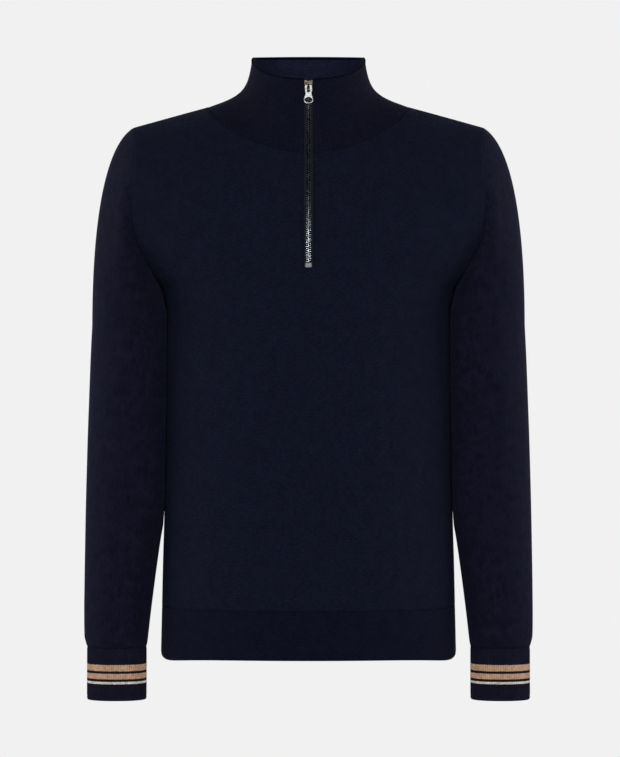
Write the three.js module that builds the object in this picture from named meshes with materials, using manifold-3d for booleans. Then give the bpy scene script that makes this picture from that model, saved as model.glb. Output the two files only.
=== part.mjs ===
// Quarter zip sweater in fine knit, filled out as if worn, with nobody in it.
// Millimetres, +Z up, the front faces -Y. Sides are named as worn, so right lies at -X.
// The origin is the middle of the neck, at the height where the collar starts on the shoulder.
import * as THREE from "three";
import { mergeVertices } from "three/addons/utils/BufferGeometryUtils.js";
import Module from "manifold-3d";

const wasm = await Module();
wasm.setup();

// Cloth
const WALL = 2;
const COLLAR_WALL = 2.2;
const SEAM_GAP = 0.35;
const RIB_HEIGHT = 0.6;

// Small steps for slopes: along the torso in millimetres, and round the armhole in radians
const SLOPE_STEP = 0.05;
const TURN_STEP = 0.01;

// Heights of the body
const HEM_Z = -655;
const BAND_SEAM_Z = -599;
const ARMPIT_Z = -222;
const SHOULDER_Z = -26.2;

// Torso by height: half width at its side edge, and how deep the front and back stand at the middle.
// Above the armpit the side edge is the armhole.
const TORSO = [
  { z: -655, half: 177, front: 119, back: 112 },
  { z: -600, half: 175.6, front: 118.5, back: 110 },
  { z: -545, half: 174.4, front: 118, back: 107.5 },
  { z: -497, half: 173, front: 117.5, back: 106 },
  { z: -400, half: 171.4, front: 117.5, back: 106.5 },
  { z: -300, half: 170.5, front: 119, back: 110 },
  { z: -250, half: 170.7, front: 120, back: 113 },
  { z: -222, half: 174.6, front: 120, back: 114.5 },
  { z: -204, half: 184, front: 119.7, back: 115 },
  { z: -183, half: 195, front: 118.8, back: 115.5 },
  { z: -165, half: 203.5, front: 117.5, back: 115.5 },
  { z: -148, half: 208, front: 115.5, back: 115 },
  { z: -115, half: 210, front: 110, back: 112.5 },
  { z: -80, half: 207, front: 100.5, back: 108 },
  { z: -50, half: 207, front: 90.5, back: 102.5 },
  { z: -26.2, half: 209.5, front: 84, back: 98 },
  { z: 30, half: 209.5, front: 72, back: 84 },
];
const SECTION_POWER = 2.4;

// Shoulder ridge and armhole
const SHOULDER_X = 209.5;
const SHOULDER_SLOPE = 0.284;
const RIDGE_SOFTNESS = 40;
const ARMHOLE_DEPTH = { front: 70, back: 66 };
const ARMHOLE_MID_Z = (SHOULDER_Z + ARMPIT_Z) / 2;
const ARMHOLE_RISE = (SHOULDER_Z - ARMPIT_Z) / 2;

// Neck seam
const NECK_X = 120.6;
const NECK_FRONT_Z = -62.5;
const NECK_BACK_Z = -12;
const NECK_SPREAD = 0.85;
const NECK_CURVE = { across: 1.7, down: 0.64 };

// Grid of the panels
const AROUND_SLEEVE = 24;
const ARMHOLE_ROWS = AROUND_SLEEVE / 2;
const SHOULDER_CELLS = 4;
const NECK_CELLS = 8;
const HALF_CELLS = SHOULDER_CELLS + NECK_CELLS;
const LOWER_LEVELS = [-560, -520, -480, -430, -380, -330, -285, -250, -236];

// Zip
const SLIT_HALF = 5.6;
const SLIT_ROW = 3;

// Sleeve by height: outer and inner edge from the middle of the body, half depth, and how far back it sits.
const ARM = [
  { z: -262, outer: 259.2, inner: 172.4, depth: 66, middle: 0 },
  { z: -301, outer: 261.2, inner: 172.1, depth: 64.5, middle: 1 },
  { z: -350, outer: 263.1, inner: 172.2, depth: 61.5, middle: 1.5 },
  { z: -400, outer: 264.9, inner: 172.6, depth: 58, middle: 1 },
  { z: -440, outer: 266, inner: 173.2, depth: 55, middle: 0 },
  { z: -478, outer: 266.9, inner: 174, depth: 52, middle: -1.5 },
  { z: -521, outer: 267.6, inner: 177.8, depth: 48, middle: -4 },
  { z: -569, outer: 268.2, inner: 184, depth: 43.5, middle: -7 },
  { z: -612, outer: 268.4, inner: 189.3, depth: 39.5, middle: -10 },
  { z: -634, outer: 268, inner: 191.7, depth: 37, middle: -11.5 },
  { z: -642, outer: 266.3, inner: 192.7, depth: 35, middle: -12 },
  { z: -647, outer: 264.8, inner: 193.6, depth: 33.5, middle: -12.3 },
];
const ARM_POWER = 2.2;
const CAP_STEPS = [0, 0.06, 0.14, 0.25, 0.38, 0.54, 0.76, 1];
const CAP_BEND = THREE.MathUtils.degToRad(-15);
const UNDERARM_FOLD = Math.PI;
const FOLD_POWER = 1.9;
const CAP_PULL = { top: 150, front: 62, under: 34 };

// Cuffs
const CUFF_TOP_Z = -647.35;
const CUFF_BOTTOM_Z = -710;
const CUFF_RIBS = 72;
const CUFF_DEPTH = 32.5;
const CUFF_DRIFT = 0.03;

// Collar: the rim's half width and depth, its height, and how its wall turns up from the seam.
const RIM_X = 67.4;
const RIM = { front: 72, back: 62 };
const RIM_ROUND = 0.92;
const RIM_Z = { front: 27.3, side: 58.5, back: 64.8 };
const RIM_DIP = { front: 0.9, back: 1 };
const COLLAR_RIBS = { front: 39, back: 36 };
const COLLAR_ROWS = [0, 0.18, 0.34, 0.5, 0.72, 1];
const TURN = {
  front: { near: 0.36, rise: 0.4 },
  side: { near: 0.09, rise: 0.25 },
  back: { near: 0.25, rise: 0.3 },
};
const TURN_TIGHTNESS = 0.9;
const INNER_EVERY = 6;

// Zip's line: its stations up the slit, how far they stay off its ends, and shares of the collar's height
const SLIT_STATIONS = 9;
const SLIT_ENDS = { foot: 0.4, top: 4 };
const COLLAR_STATIONS = [0.15, 0.32, 0.5, 0.68, 0.84, 1];
const STATION_CLEAR = 2;

// Zip pieces: distances behind the cloth's outer face, half widths, and how far they run past the line's ends
const TAPE = { near: 3.3, far: 15, front: 2.9, back: 3.8, below: 1, short: 1.5 };
const NECK_ROUND = 66;
const CHAIN = { half: 2.9, front: 1.6, back: 4.2, above: 0.1, pastAxle: 3.9 };
const STOP = { half: 4.55, height: 6.8, front: -0.7, back: 1.25 };
const SLIDER = { half: 5.2, low: -5, high: 7.6, front: -0.9, back: 1.25, rear: 4.5, rearBack: 5.7 };
const SLIDER_POST = { half: 2, low: 4.7 };
const AXLE_Z = 17.2;
const AXLE_OUT = 2.25;
const BAIL = { half: 1, inner: 1.5, outer: 2.5 };
const CAST_OVERLAP = 0.2;

// Pull tab below its axle: the right half of its outline from the top, as two handles and an end for each
// stretch, across and up; then the slot for the bail and the oval hole.
const TAB_THICK = 1.4;
const TAB_TOP = { half: 3.6, z: 0.8 };
const TAB_OUTLINE = [
  [[3.9, 0.8], [4.3, 0.4], [4.3, -0.2]],
  [[4.3, -2], [4.2, -3.8], [4.2, -5.6]],
  [[4.1, -7.4], [3.5, -7.6], [3.5, -9]],
  [[3.6, -11.5], [5.65, -13.2], [5.65, -17]],
  [[5.65, -20], [3.2, -21.2], [0, -21.2]],
];
const TAB_SLOT = { half: 1.4, top: -0.8, foot: -7.6, corner: 0.6 };
const TAB_HOLE = { half: 4.3, rise: 2.6, z: -16.6, corners: 20 };

const lerp = (a, b, t) => a + (b - a) * t;
const vec = (x, y, z) => new THREE.Vector3(x, y, z);

// One column of a table as a smooth function of height that never overshoots its rows.
function column(rows, key) {
  const z = rows.map((row) => row.z);
  const v = rows.map((row) => row[key]);
  if (z[0] > z[1]) {
    z.reverse();
    v.reverse();
  }
  const last = z.length - 1;
  const step = z.slice(1).map((at, i) => (v[i + 1] - v[i]) / (at - z[i]));
  const slope = v.map((_, i) => {
    if (i === 0) return step[0];
    if (i === last) return step[last - 1];
    if (step[i - 1] * step[i] <= 0) return 0;
    return (2 * step[i - 1] * step[i]) / (step[i - 1] + step[i]);
  });
  return (at) => {
    if (at <= z[0]) return v[0];
    if (at >= z[last]) return v[last];
    const i = z.findIndex((next) => next > at) - 1;
    const span = z[i + 1] - z[i];
    const t = (at - z[i]) / span;
    const u = 1 - t;
    return (
      v[i] * (1 + 2 * t) * u * u +
      v[i + 1] * (3 - 2 * t) * t * t +
      (slope[i] * u - slope[i + 1] * t) * t * u * span
    );
  };
}

const halfWidth = column(TORSO, "half");
const torsoDepth = { front: column(TORSO, "front"), back: column(TORSO, "back") };
const arm = {
  outer: column(ARM, "outer"),
  inner: column(ARM, "inner"),
  depth: column(ARM, "depth"),
  middle: column(ARM, "middle"),
};

// Height of the shoulder ridge over the middle of the body and out to the shoulder point.
function ridgeHeight(x) {
  const drop = Math.hypot(x, RIDGE_SOFTNESS) - Math.hypot(SHOULDER_X, RIDGE_SOFTNESS);
  return SHOULDER_Z - SHOULDER_SLOPE * drop;
}

// How deep the armhole's edge stands in front or behind, before the shoulder rounds it over.
function edgeDepth(z, side) {
  if (z <= ARMPIT_Z) return 0;
  if (z >= ARMHOLE_MID_Z) return ARMHOLE_DEPTH[side];
  const t = (z - ARMHOLE_MID_Z) / ARMHOLE_RISE;
  return ARMHOLE_DEPTH[side] * Math.sqrt(1 - t * t);
}

// Squared depth of the torso at a place seen from the front: a superellipse across, rounded at the ridge.
function depthSquared(x, z, side) {
  const power = SECTION_POWER;
  const middle = torsoDepth[side](z) ** power;
  const edge = edgeDepth(z, side) ** power;
  const across = Math.abs(x) / halfWidth(z);
  const q = middle - (middle - edge) * across ** power;
  const t = Math.min(1, (ridgeHeight(x) - z) / ARMHOLE_RISE);
  return Math.sign(q) * Math.abs(q) ** (2 / power) * (1 - (1 - t) ** 2);
}

// A point of the torso's outer face and the direction that faces out there.
function torsoPoint(x, z, side) {
  const facing = side === "front" ? -1 : 1;
  const y = facing * Math.sqrt(Math.max(0, depthSquared(x, z, side)));
  const h = SLOPE_STEP;
  const dx = (depthSquared(x - h, z, side) - depthSquared(x + h, z, side)) / (2 * h);
  const dz = (depthSquared(x, z - h, side) - depthSquared(x, z + h, side)) / (2 * h);
  return { p: vec(x, y, z), n: vec(dx, 2 * y, dz).normalize() };
}

// Height of the neck seam at a distance from the middle.
function neckSeam(x, side) {
  const s = Math.min(1, Math.abs(x) / NECK_X);
  const top = ridgeHeight(NECK_X);
  if (side === "front") return lerp(top, NECK_FRONT_Z, (1 - s ** NECK_CURVE.across) ** NECK_CURVE.down);
  return lerp(top, NECK_BACK_Z, Math.sqrt(1 - s * s));
}

// Half width of the gap that the zip leaves in a panel.
function middleGap(side) {
  return side === "front" ? SLIT_HALF : 0;
}

// A place on the neck seam of the right half: share 0 is on the shoulder ridge, 1 at the middle.
function neckPlace(side, share) {
  const gap = middleGap(side);
  const x = share === 1 ? gap : lerp(gap, NECK_X, Math.cos((share * Math.PI) / 2) ** NECK_SPREAD);
  return torsoPoint(-x, neckSeam(x, side), side);
}

// The same place on the straight stretches between the panel's own points, so that the collar meets them.
function neckChord(side, share) {
  const cell = Math.min(NECK_CELLS - 1, Math.floor(share * NECK_CELLS));
  const from = neckPlace(side, cell / NECK_CELLS);
  const to = neckPlace(side, (cell + 1) / NECK_CELLS);
  const t = share * NECK_CELLS - cell;
  return { p: from.p.lerp(to.p, t), n: from.n.lerp(to.n, t).normalize() };
}

// A closed mesh from points and triangles, turned so that its faces point out.
function closedMesh(points, faces) {
  let volume = 0;
  for (const [a, b, c] of faces) {
    volume += points[a].dot(vec(0, 0, 0).crossVectors(points[b], points[c]));
  }
  const index = faces.flatMap(([a, b, c]) => (volume < 0 ? [a, c, b] : [a, b, c]));
  const geometry = new THREE.BufferGeometry();
  geometry.setAttribute(
    "position",
    new THREE.Float32BufferAttribute(points.flatMap((p) => [p.x, p.y, p.z]), 3),
  );
  geometry.setIndex(index);
  return geometry;
}

// Directions that face out on a grid of points, from its neighbours; sign turns them round.
function gridNormals(grid, wraps, sign) {
  const rows = grid.length;
  const columns = grid[0].length;
  return grid.map((row, i) =>
    row.map((_, j) => {
      const before = wraps ? (j + columns - 1) % columns : Math.max(0, j - 1);
      const after = wraps ? (j + 1) % columns : Math.min(columns - 1, j + 1);
      const across = row[after].clone().sub(row[before]);
      const up = grid[Math.min(rows - 1, i + 1)][j].clone().sub(grid[Math.max(0, i - 1)][j]);
      return across.cross(up).normalize().multiplyScalar(sign);
    }),
  );
}

// A wall of cloth: outer points, the same points moved in by the wall, and strips along every open edge.
function wall(grid, normals, thick, wraps, keeps = () => true) {
  const rows = grid.length;
  const columns = grid[0].length;
  const outer = grid.flat();
  const inner = outer.map((p, k) => {
    const n = normals[Math.floor(k / columns)][k % columns];
    return p.clone().addScaledVector(n, -thick);
  });
  const faces = [];
  const edges = new Map();
  for (let i = 0; i + 1 < rows; i++) {
    for (let j = 0; j < (wraps ? columns : columns - 1); j++) {
      if (!keeps(i, j)) continue;
      const next = (j + 1) % columns;
      const corners = [i * columns + j, i * columns + next, (i + 1) * columns + next, (i + 1) * columns + j];
      const [a, b, c, d] = corners;
      faces.push([a, b, c], [a, c, d]);
      corners.forEach((from, k) => {
        const to = corners[(k + 1) % 4];
        edges.set(`${from},${to}`, [from, to]);
      });
    }
  }
  const shift = outer.length;
  const inside = faces.map(([a, b, c]) => [c + shift, b + shift, a + shift]);
  const rim = [];
  for (const [from, to] of edges.values()) {
    if (edges.has(`${to},${from}`)) continue;
    rim.push([to, from, from + shift], [to, from + shift, to + shift]);
  }
  const all = [...faces, ...inside, ...rim];
  const used = new Map();
  const points = [];
  const packed = all.map((face) =>
    face.map((k) => {
      if (!used.has(k)) {
        used.set(k, points.length);
        points.push(k < shift ? outer[k] : inner[k - shift]);
      }
      return used.get(k);
    }),
  );
  return closedMesh(points, packed);
}

// A ribbed wall: a fine grid of ridges and grooves outside, and a plain, coarser grid inside.
function ribbedWall(outerGrid, innerGrid, wraps) {
  const rows = outerGrid.length;
  const fine = outerGrid[0].length;
  const coarse = innerGrid[0].length;
  const points = [...outerGrid.flat(), ...innerGrid.flat()];
  const shift = rows * fine;
  const out = (i, j) => i * fine + (j % fine);
  const into = (i, j) => shift + i * coarse + (j % coarse);
  const fineCells = wraps ? fine : fine - 1;
  const coarseCells = wraps ? coarse : coarse - 1;
  const every = fineCells / coarseCells;
  const faces = [];
  for (let i = 0; i + 1 < rows; i++) {
    for (let j = 0; j < fineCells; j++) {
      faces.push([out(i, j), out(i, j + 1), out(i + 1, j + 1)]);
      faces.push([out(i, j), out(i + 1, j + 1), out(i + 1, j)]);
    }
    for (let j = 0; j < coarseCells; j++) {
      faces.push([into(i, j), into(i + 1, j + 1), into(i, j + 1)]);
      faces.push([into(i, j), into(i + 1, j), into(i + 1, j + 1)]);
    }
  }
  // The top and bottom edges: fans from each inner point to the outer points nearest it.
  for (const [i, turned] of [[0, false], [rows - 1, true]]) {
    const add = (a, b, c) => faces.push(turned ? [a, b, c] : [a, c, b]);
    for (let q = 0; q < coarseCells; q++) {
      const start = q * every;
      const half = start + every / 2;
      for (let j = start; j < start + every; j++) {
        add(out(i, j), out(i, j + 1), into(i, j < half ? q : q + 1));
      }
      add(out(i, half), into(i, q + 1), into(i, q));
    }
  }
  if (!wraps) {
    for (let i = 0; i + 1 < rows; i++) {
      faces.push([out(i, 0), out(i + 1, 0), into(i + 1, 0)], [out(i, 0), into(i + 1, 0), into(i, 0)]);
      const f = fine - 1;
      const c = coarse - 1;
      faces.push([out(i, f), into(i + 1, c), out(i + 1, f)], [out(i, f), into(i, c), into(i + 1, c)]);
    }
  }
  return closedMesh(points, faces);
}

// The same shape on the other side of the body.
function mirrored(geometry) {
  const copy = geometry.clone();
  const position = copy.getAttribute("position");
  for (let i = 0; i < position.count; i++) position.setX(i, -position.getX(i));
  const index = copy.getIndex();
  for (let i = 0; i < index.count; i += 3) {
    const b = index.getX(i + 1);
    index.setX(i + 1, index.getX(i + 2));
    index.setX(i + 2, b);
  }
  return copy;
}

// Front or back panel: rows from the hem seam to the shoulder and neck, columns from side to middle.
function torsoPanel(side) {
  const gap = middleGap(side);
  const facing = side === "front" ? -1 : 1;
  const columns = [];
  for (let j = 0; j <= HALF_CELLS; j++) {
    const low = Math.cos((j / HALF_CELLS) * (Math.PI / 2)) ** (2 / SECTION_POWER);
    let x = lerp(SHOULDER_X, NECK_X, j / SHOULDER_CELLS);
    let z = ridgeHeight(x);
    if (j > SHOULDER_CELLS) {
      const { p } = neckPlace(side, (j - SHOULDER_CELLS) / NECK_CELLS);
      x = -p.x;
      z = p.z;
    }
    columns.push({ low: j === HALF_CELLS ? 0 : low, top: (x - gap) / (halfWidth(z) - gap), topZ: z });
  }
  const steps = [BAND_SEAM_Z + SEAM_GAP / 2, ...LOWER_LEVELS].map((z) => ({ z, rise: 0 }));
  for (let i = 0; i <= ARMHOLE_ROWS; i++) {
    steps.push({ rise: (1 - Math.cos((i / ARMHOLE_ROWS) * Math.PI)) / 2 });
  }
  const slitRow = 1 + LOWER_LEVELS.length + SLIT_ROW;
  const places = steps.map(({ z, rise }) =>
    columns.map(({ low, top, topZ }) => {
      const height = z ?? lerp(ARMPIT_Z, topZ, rise);
      const share = lerp(low, top, rise * rise * (3 - 2 * rise));
      return torsoPoint(-lerp(gap, halfWidth(height), share), height, side);
    }),
  );
  const grid = [];
  const normals = [];
  for (const row of places) {
    const left = row.map(({ p }) => vec(p.x, p.y + (facing * SEAM_GAP) / 2, p.z));
    const leftNormals = row.map(({ n }) => n.clone());
    const right = left.map((p) => vec(-p.x, p.y, p.z)).reverse();
    const rightNormals = leftNormals.map((n) => vec(-n.x, n.y, n.z)).reverse();
    if (gap === 0) {
      right.shift();
      rightNormals.shift();
    }
    grid.push([...left, ...right]);
    normals.push([...leftNormals, ...rightNormals]);
  }
  const keeps = (i, j) => gap === 0 || j !== HALF_CELLS || i < slitRow;
  return wall(grid, normals, WALL, false, keeps);
}

// Band round the hem, on the same sections as the panels.
function hemBand() {
  const levels = [HEM_Z, (HEM_Z + BAND_SEAM_Z) / 2, BAND_SEAM_Z - SEAM_GAP / 2];
  const grid = [];
  const normals = [];
  for (const z of levels) {
    const row = [];
    for (let j = 0; j < 4 * HALF_CELLS; j++) {
      const turn = (j / HALF_CELLS) * (Math.PI / 2);
      const side = j <= 2 * HALF_CELLS ? "front" : "back";
      const share = Math.abs(Math.cos(turn)) ** (2 / SECTION_POWER);
      row.push(torsoPoint(-Math.sign(Math.cos(turn)) * share * halfWidth(z), z, side));
    }
    grid.push(row.map(({ p }) => p));
    normals.push(row.map(({ n }) => n));
  }
  return wall(grid, normals, WALL, true);
}

// The armhole of the right side, all round: angle 0 is the shoulder point, 90 degrees the front.
function armhole(angle) {
  const z = ARMHOLE_MID_Z + ARMHOLE_RISE * Math.cos(angle);
  return torsoPoint(-halfWidth(z), z, Math.sin(angle) >= 0 ? "front" : "back");
}

// Edge of a piece that is set against a panel: a gap's width off it, with no corner leaning back into it.
function setAgainst(place, along, fold) {
  const beyond = along.clone().cross(place.n).normalize();
  const blend = (ahead, out) => beyond.clone().multiplyScalar(ahead).addScaledVector(place.n, out);
  const apart = blend(Math.cos(fold / 2), Math.sin(fold / 2));
  const away = blend(Math.cos(fold), Math.sin(fold));
  const normal = blend(-Math.sin(fold), Math.cos(fold));
  const leaning = Math.max(0, normal.dot(beyond));
  return {
    p: place.p.clone().addScaledVector(apart, SEAM_GAP),
    n: normal.clone().addScaledVector(beyond, -leaning).normalize(),
    away,
  };
}

// A place on the right arm's outer face: angle 0 is outermost, 90 degrees the front, 180 beside the body.
function armPoint(z, angle) {
  const bulge = (v) => Math.sign(v) * Math.abs(v) ** (2 / ARM_POWER);
  const middle = -(arm.outer(z) + arm.inner(z)) / 2;
  const half = (arm.outer(z) - arm.inner(z)) / 2;
  const y = arm.middle(z) - arm.depth(z) * bulge(Math.sin(angle));
  return vec(middle - half * bulge(Math.cos(angle)), y, z);
}

// Right sleeve: a cap that starts along the armhole, then rings down to the cuff seam.
function sleeve() {
  const angles = Array.from({ length: AROUND_SLEEVE }, (_, k) => (k / AROUND_SLEEVE) * 2 * Math.PI);
  const starts = angles.map((angle) => {
    const along = armhole(angle + TURN_STEP).p.sub(armhole(angle - TURN_STEP).p);
    const under = ((1 - Math.cos(angle)) / 2) ** FOLD_POWER;
    return setAgainst(armhole(angle), along, lerp(CAP_BEND, UNDERARM_FOLD, under));
  });
  const capEnd = ARM[0].z;
  const grid = CAP_STEPS.map((t) =>
    angles.map((angle, k) => {
      const from = starts[k];
      const to = armPoint(capEnd, angle);
      const under = (1 - Math.cos(angle)) / 2;
      const upper = under < 0.5;
      const pull = upper
        ? lerp(CAP_PULL.top, CAP_PULL.front, under * 2)
        : lerp(CAP_PULL.front, CAP_PULL.under, under * 2 - 1);
      const leave = from.away.clone().multiplyScalar(pull);
      const arrive = vec(0, 0, -from.p.distanceTo(to));
      const u = 1 - t;
      return from.p
        .clone()
        .multiplyScalar((1 + 2 * t) * u * u)
        .addScaledVector(leave, t * u * u)
        .addScaledVector(to, (3 - 2 * t) * t * t)
        .addScaledVector(arrive, -u * t * t);
    }),
  );
  for (const { z } of ARM.slice(1)) grid.push(angles.map((angle) => armPoint(z, angle)));
  const normals = gridNormals(grid, true, 1);
  const faceOut = normals[normals.length - 1][0].x < 0 ? 1 : -1;
  normals.forEach((row) => row.forEach((n) => n.multiplyScalar(faceOut)));
  normals[0] = starts.map(({ n }) => n);
  return wall(grid, normals, WALL, true);
}

// Right cuff: ribs raised on the outside of a plain tube.
function cuff() {
  const fine = CUFF_RIBS * 2;
  const rise = (CUFF_BOTTOM_Z - CUFF_TOP_Z) / 2;
  const middleY = arm.middle(CUFF_TOP_Z);
  const ring = (z, angle, out) => {
    const p = armPoint(CUFF_TOP_Z, angle);
    const middleX = -(arm.outer(CUFF_TOP_Z) + arm.inner(CUFF_TOP_Z)) / 2;
    const way = vec(p.x - middleX, (p.y - middleY) * (CUFF_DEPTH / arm.depth(CUFF_TOP_Z)), 0);
    const reach = way.length();
    way.multiplyScalar((reach + out) / reach);
    return vec(middleX + way.x, middleY + way.y + (z - CUFF_TOP_Z) * CUFF_DRIFT, z);
  };
  const levels = [CUFF_TOP_Z, CUFF_TOP_Z + rise, CUFF_BOTTOM_Z];
  const turn = (count) => Array.from({ length: count }, (_, k) => (k / count) * 2 * Math.PI);
  const outer = levels.map((z) => turn(fine).map((angle, k) => ring(z, angle, k % 2 ? -RIB_HEIGHT : 0)));
  const inside = -WALL - RIB_HEIGHT;
  const inner = levels.map((z) => turn(fine / INNER_EVERY).map((angle) => ring(z, angle, inside)));
  return ribbedWall(outer, inner, true);
}

// Where the collar's wall starts on the neck seam, turns up and ends at its rim, at one place round it.
function collarPlace(side, turn) {
  const seam = neckChord(side, 1 - turn / (Math.PI / 2));
  const facing = side === "front" ? -1 : 1;
  const rim = vec(
    -lerp(middleGap(side), RIM_X, Math.sin(turn)),
    facing * RIM[side] * Math.cos(turn) ** RIM_ROUND,
    lerp(RIM_Z.side, RIM_Z[side], Math.cos(turn) ** RIM_DIP[side]),
  );
  const bend = Math.cos(turn) ** 2;
  const near = lerp(TURN.side.near, TURN[side].near, bend);
  const rise = lerp(TURN.side.rise, TURN[side].rise, bend);
  const knee = vec(lerp(rim.x, seam.p.x, near), lerp(rim.y, seam.p.y, near), lerp(seam.p.z, rim.z, rise));
  return { seam, rim, knee };
}

// Standing collar of one piece, from the zip round the back to the zip again.
function collar() {
  const places = [];
  const frontCells = COLLAR_RIBS.front * 2;
  const backCells = COLLAR_RIBS.back * 2;
  const quarter = Math.PI / 2;
  for (let k = 0; k < frontCells; k++) places.push({ side: "front", turn: (k / frontCells) * quarter });
  for (let k = 0; k <= backCells; k++) places.push({ side: "back", turn: (1 - k / backCells) * quarter });
  const half = places.map(({ side, turn }) => collarPlace(side, turn));
  const seamPoints = half.map(({ seam }) => seam.p);
  const columns = half.map(({ seam, rim, knee }, k) => {
    const along = seamPoints[Math.min(half.length - 1, k + 1)].clone().sub(seamPoints[Math.max(0, k - 1)]);
    if (k === 0 || k === half.length - 1) along.setY(0).setZ(0);
    const beyond = along.clone().cross(seam.n).normalize();
    const foot = seam.p.clone().addScaledVector(beyond, SEAM_GAP);
    const first = foot.clone().lerp(knee, TURN_TIGHTNESS);
    const second = rim.clone().lerp(knee, TURN_TIGHTNESS);
    const curve = new THREE.CubicBezierCurve3(foot, first, second, rim);
    return { curve, beyond, seam };
  });
  const grid = COLLAR_ROWS.map((v) => columns.map(({ curve }) => curve.getPoint(v)));
  const normals = gridNormals(grid, false, 1);
  const faceOut = normals[2][frontCells].x < 0 ? 1 : -1;
  normals.forEach((row) => row.forEach((n) => n.multiplyScalar(faceOut)));
  normals.forEach((row) => [row[0], row[row.length - 1]].forEach((n) => n.setX(0).normalize()));
  normals[0].forEach((n, k) => {
    const leaning = Math.max(0, n.dot(columns[k].beyond));
    n.addScaledVector(columns[k].beyond, -leaning).normalize();
  });
  const flip = (p) => vec(-p.x, p.y, p.z);
  const whole = (row) => [...row, ...row.slice(0, -1).reverse().map(flip)];
  const fineGrid = grid.map((row, i) =>
    whole(row.map((p, j) => p.clone().addScaledVector(normals[i][j], j % 2 ? RIB_HEIGHT : 0))),
  );
  const plainGrid = grid.map((row, i) =>
    whole(row.map((p, j) => p.clone().addScaledVector(normals[i][j], -COLLAR_WALL))),
  );
  const coarseGrid = plainGrid.map((row) => row.filter((_, j) => j % INNER_EVERY === 0));
  return ribbedWall(fineGrid, coarseGrid, false);
}

// The zip's line, up the middle of the front from the slit's lower end to the collar's rim.
function zipLine() {
  const stations = [];
  const slitFoot = lerp(ARMPIT_Z, NECK_FRONT_Z, (1 - Math.cos((SLIT_ROW / ARMHOLE_ROWS) * Math.PI)) / 2);
  for (let i = 0; i < SLIT_STATIONS; i++) {
    const z = lerp(slitFoot + SLIT_ENDS.foot, NECK_FRONT_Z - SLIT_ENDS.top, i / (SLIT_STATIONS - 1));
    stations.push(torsoPoint(SLIT_HALF, z, "front").p);
  }
  const { seam, rim, knee } = collarPlace("front", 0);
  const first = seam.p.clone().lerp(knee, TURN_TIGHTNESS);
  const second = rim.clone().lerp(knee, TURN_TIGHTNESS);
  const curve = new THREE.CubicBezierCurve3(seam.p, first, second, rim);
  for (const v of COLLAR_STATIONS) stations.push(curve.getPoint(v));
  return stations.map((p, i) => {
    const before = stations[Math.max(0, i - 1)];
    const after = stations[Math.min(stations.length - 1, i + 1)];
    const up = after.clone().sub(before).setX(0).normalize();
    return { p: vec(0, p.y - SEAM_GAP / 2, p.z), up, out: vec(0, -up.z, up.y) };
  });
}

// The zip's line between two heights, with its end stations cut to them.
function zipStretch(line, lowZ, highZ) {
  const at = (z) => {
    const i = Math.max(0, Math.min(line.length - 2, line.findIndex(({ p }) => p.z > z) - 1));
    const t = (z - line[i].p.z) / (line[i + 1].p.z - line[i].p.z);
    const out = line[i].out.clone().lerp(line[i + 1].out, t).normalize();
    return { p: line[i].p.clone().lerp(line[i + 1].p, t), out, up: vec(0, out.z, -out.y) };
  };
  const inside = line.filter(({ p }) => p.z > lowZ + STATION_CLEAR && p.z < highZ - STATION_CLEAR);
  return [at(lowZ), ...inside, at(highZ)];
}

// A strip along the zip's line, rounded back as the neck is: its two edges across, and its front and back
// behind the cloth's face.
function strip(stations, x0, x1, front, back) {
  const points = [];
  for (const { p, out } of stations) {
    for (const [x, depth] of [[x0, front], [x1, front], [x1, back], [x0, back]]) {
      points.push(p.clone().addScaledVector(out, -depth - (x * x) / (2 * NECK_ROUND)).setX(x));
    }
  }
  const faces = [];
  for (let i = 0; i + 1 < stations.length; i++) {
    for (let k = 0; k < 4; k++) {
      const a = i * 4 + k;
      const b = i * 4 + ((k + 1) % 4);
      faces.push([a, b, b + 4], [a, b + 4, a + 4]);
    }
  }
  const top = points.length - 4;
  faces.push([0, 2, 1], [0, 3, 2], [top, top + 1, top + 2], [top, top + 2, top + 3]);
  return closedMesh(points, faces);
}

// A closed geometry as a solid that can be joined to others, and back.
function solid(geometry) {
  const bare = geometry.clone();
  bare.deleteAttribute("normal");
  bare.deleteAttribute("uv");
  const merged = mergeVertices(bare, 1e-4);
  return new wasm.Manifold(
    new wasm.Mesh({
      numProp: 3,
      vertProperties: new Float32Array(merged.getAttribute("position").array),
      triVerts: new Uint32Array(merged.getIndex().array),
    }),
  );
}

function shapeOf(body) {
  const mesh = body.getMesh();
  const geometry = new THREE.BufferGeometry();
  geometry.setAttribute("position", new THREE.BufferAttribute(mesh.vertProperties, 3));
  geometry.setIndex(new THREE.BufferAttribute(mesh.triVerts, 1));
  return geometry;
}

// A box between two corners, in the zip's own frame: X across, -Y out of the cloth, Z up along the zip.
function block(x, y0, y1, z0, z1) {
  const box = new THREE.BoxGeometry(2 * x, y1 - y0, z1 - z0);
  return box.translate(0, (y0 + y1) / 2, (z0 + z1) / 2);
}

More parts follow.
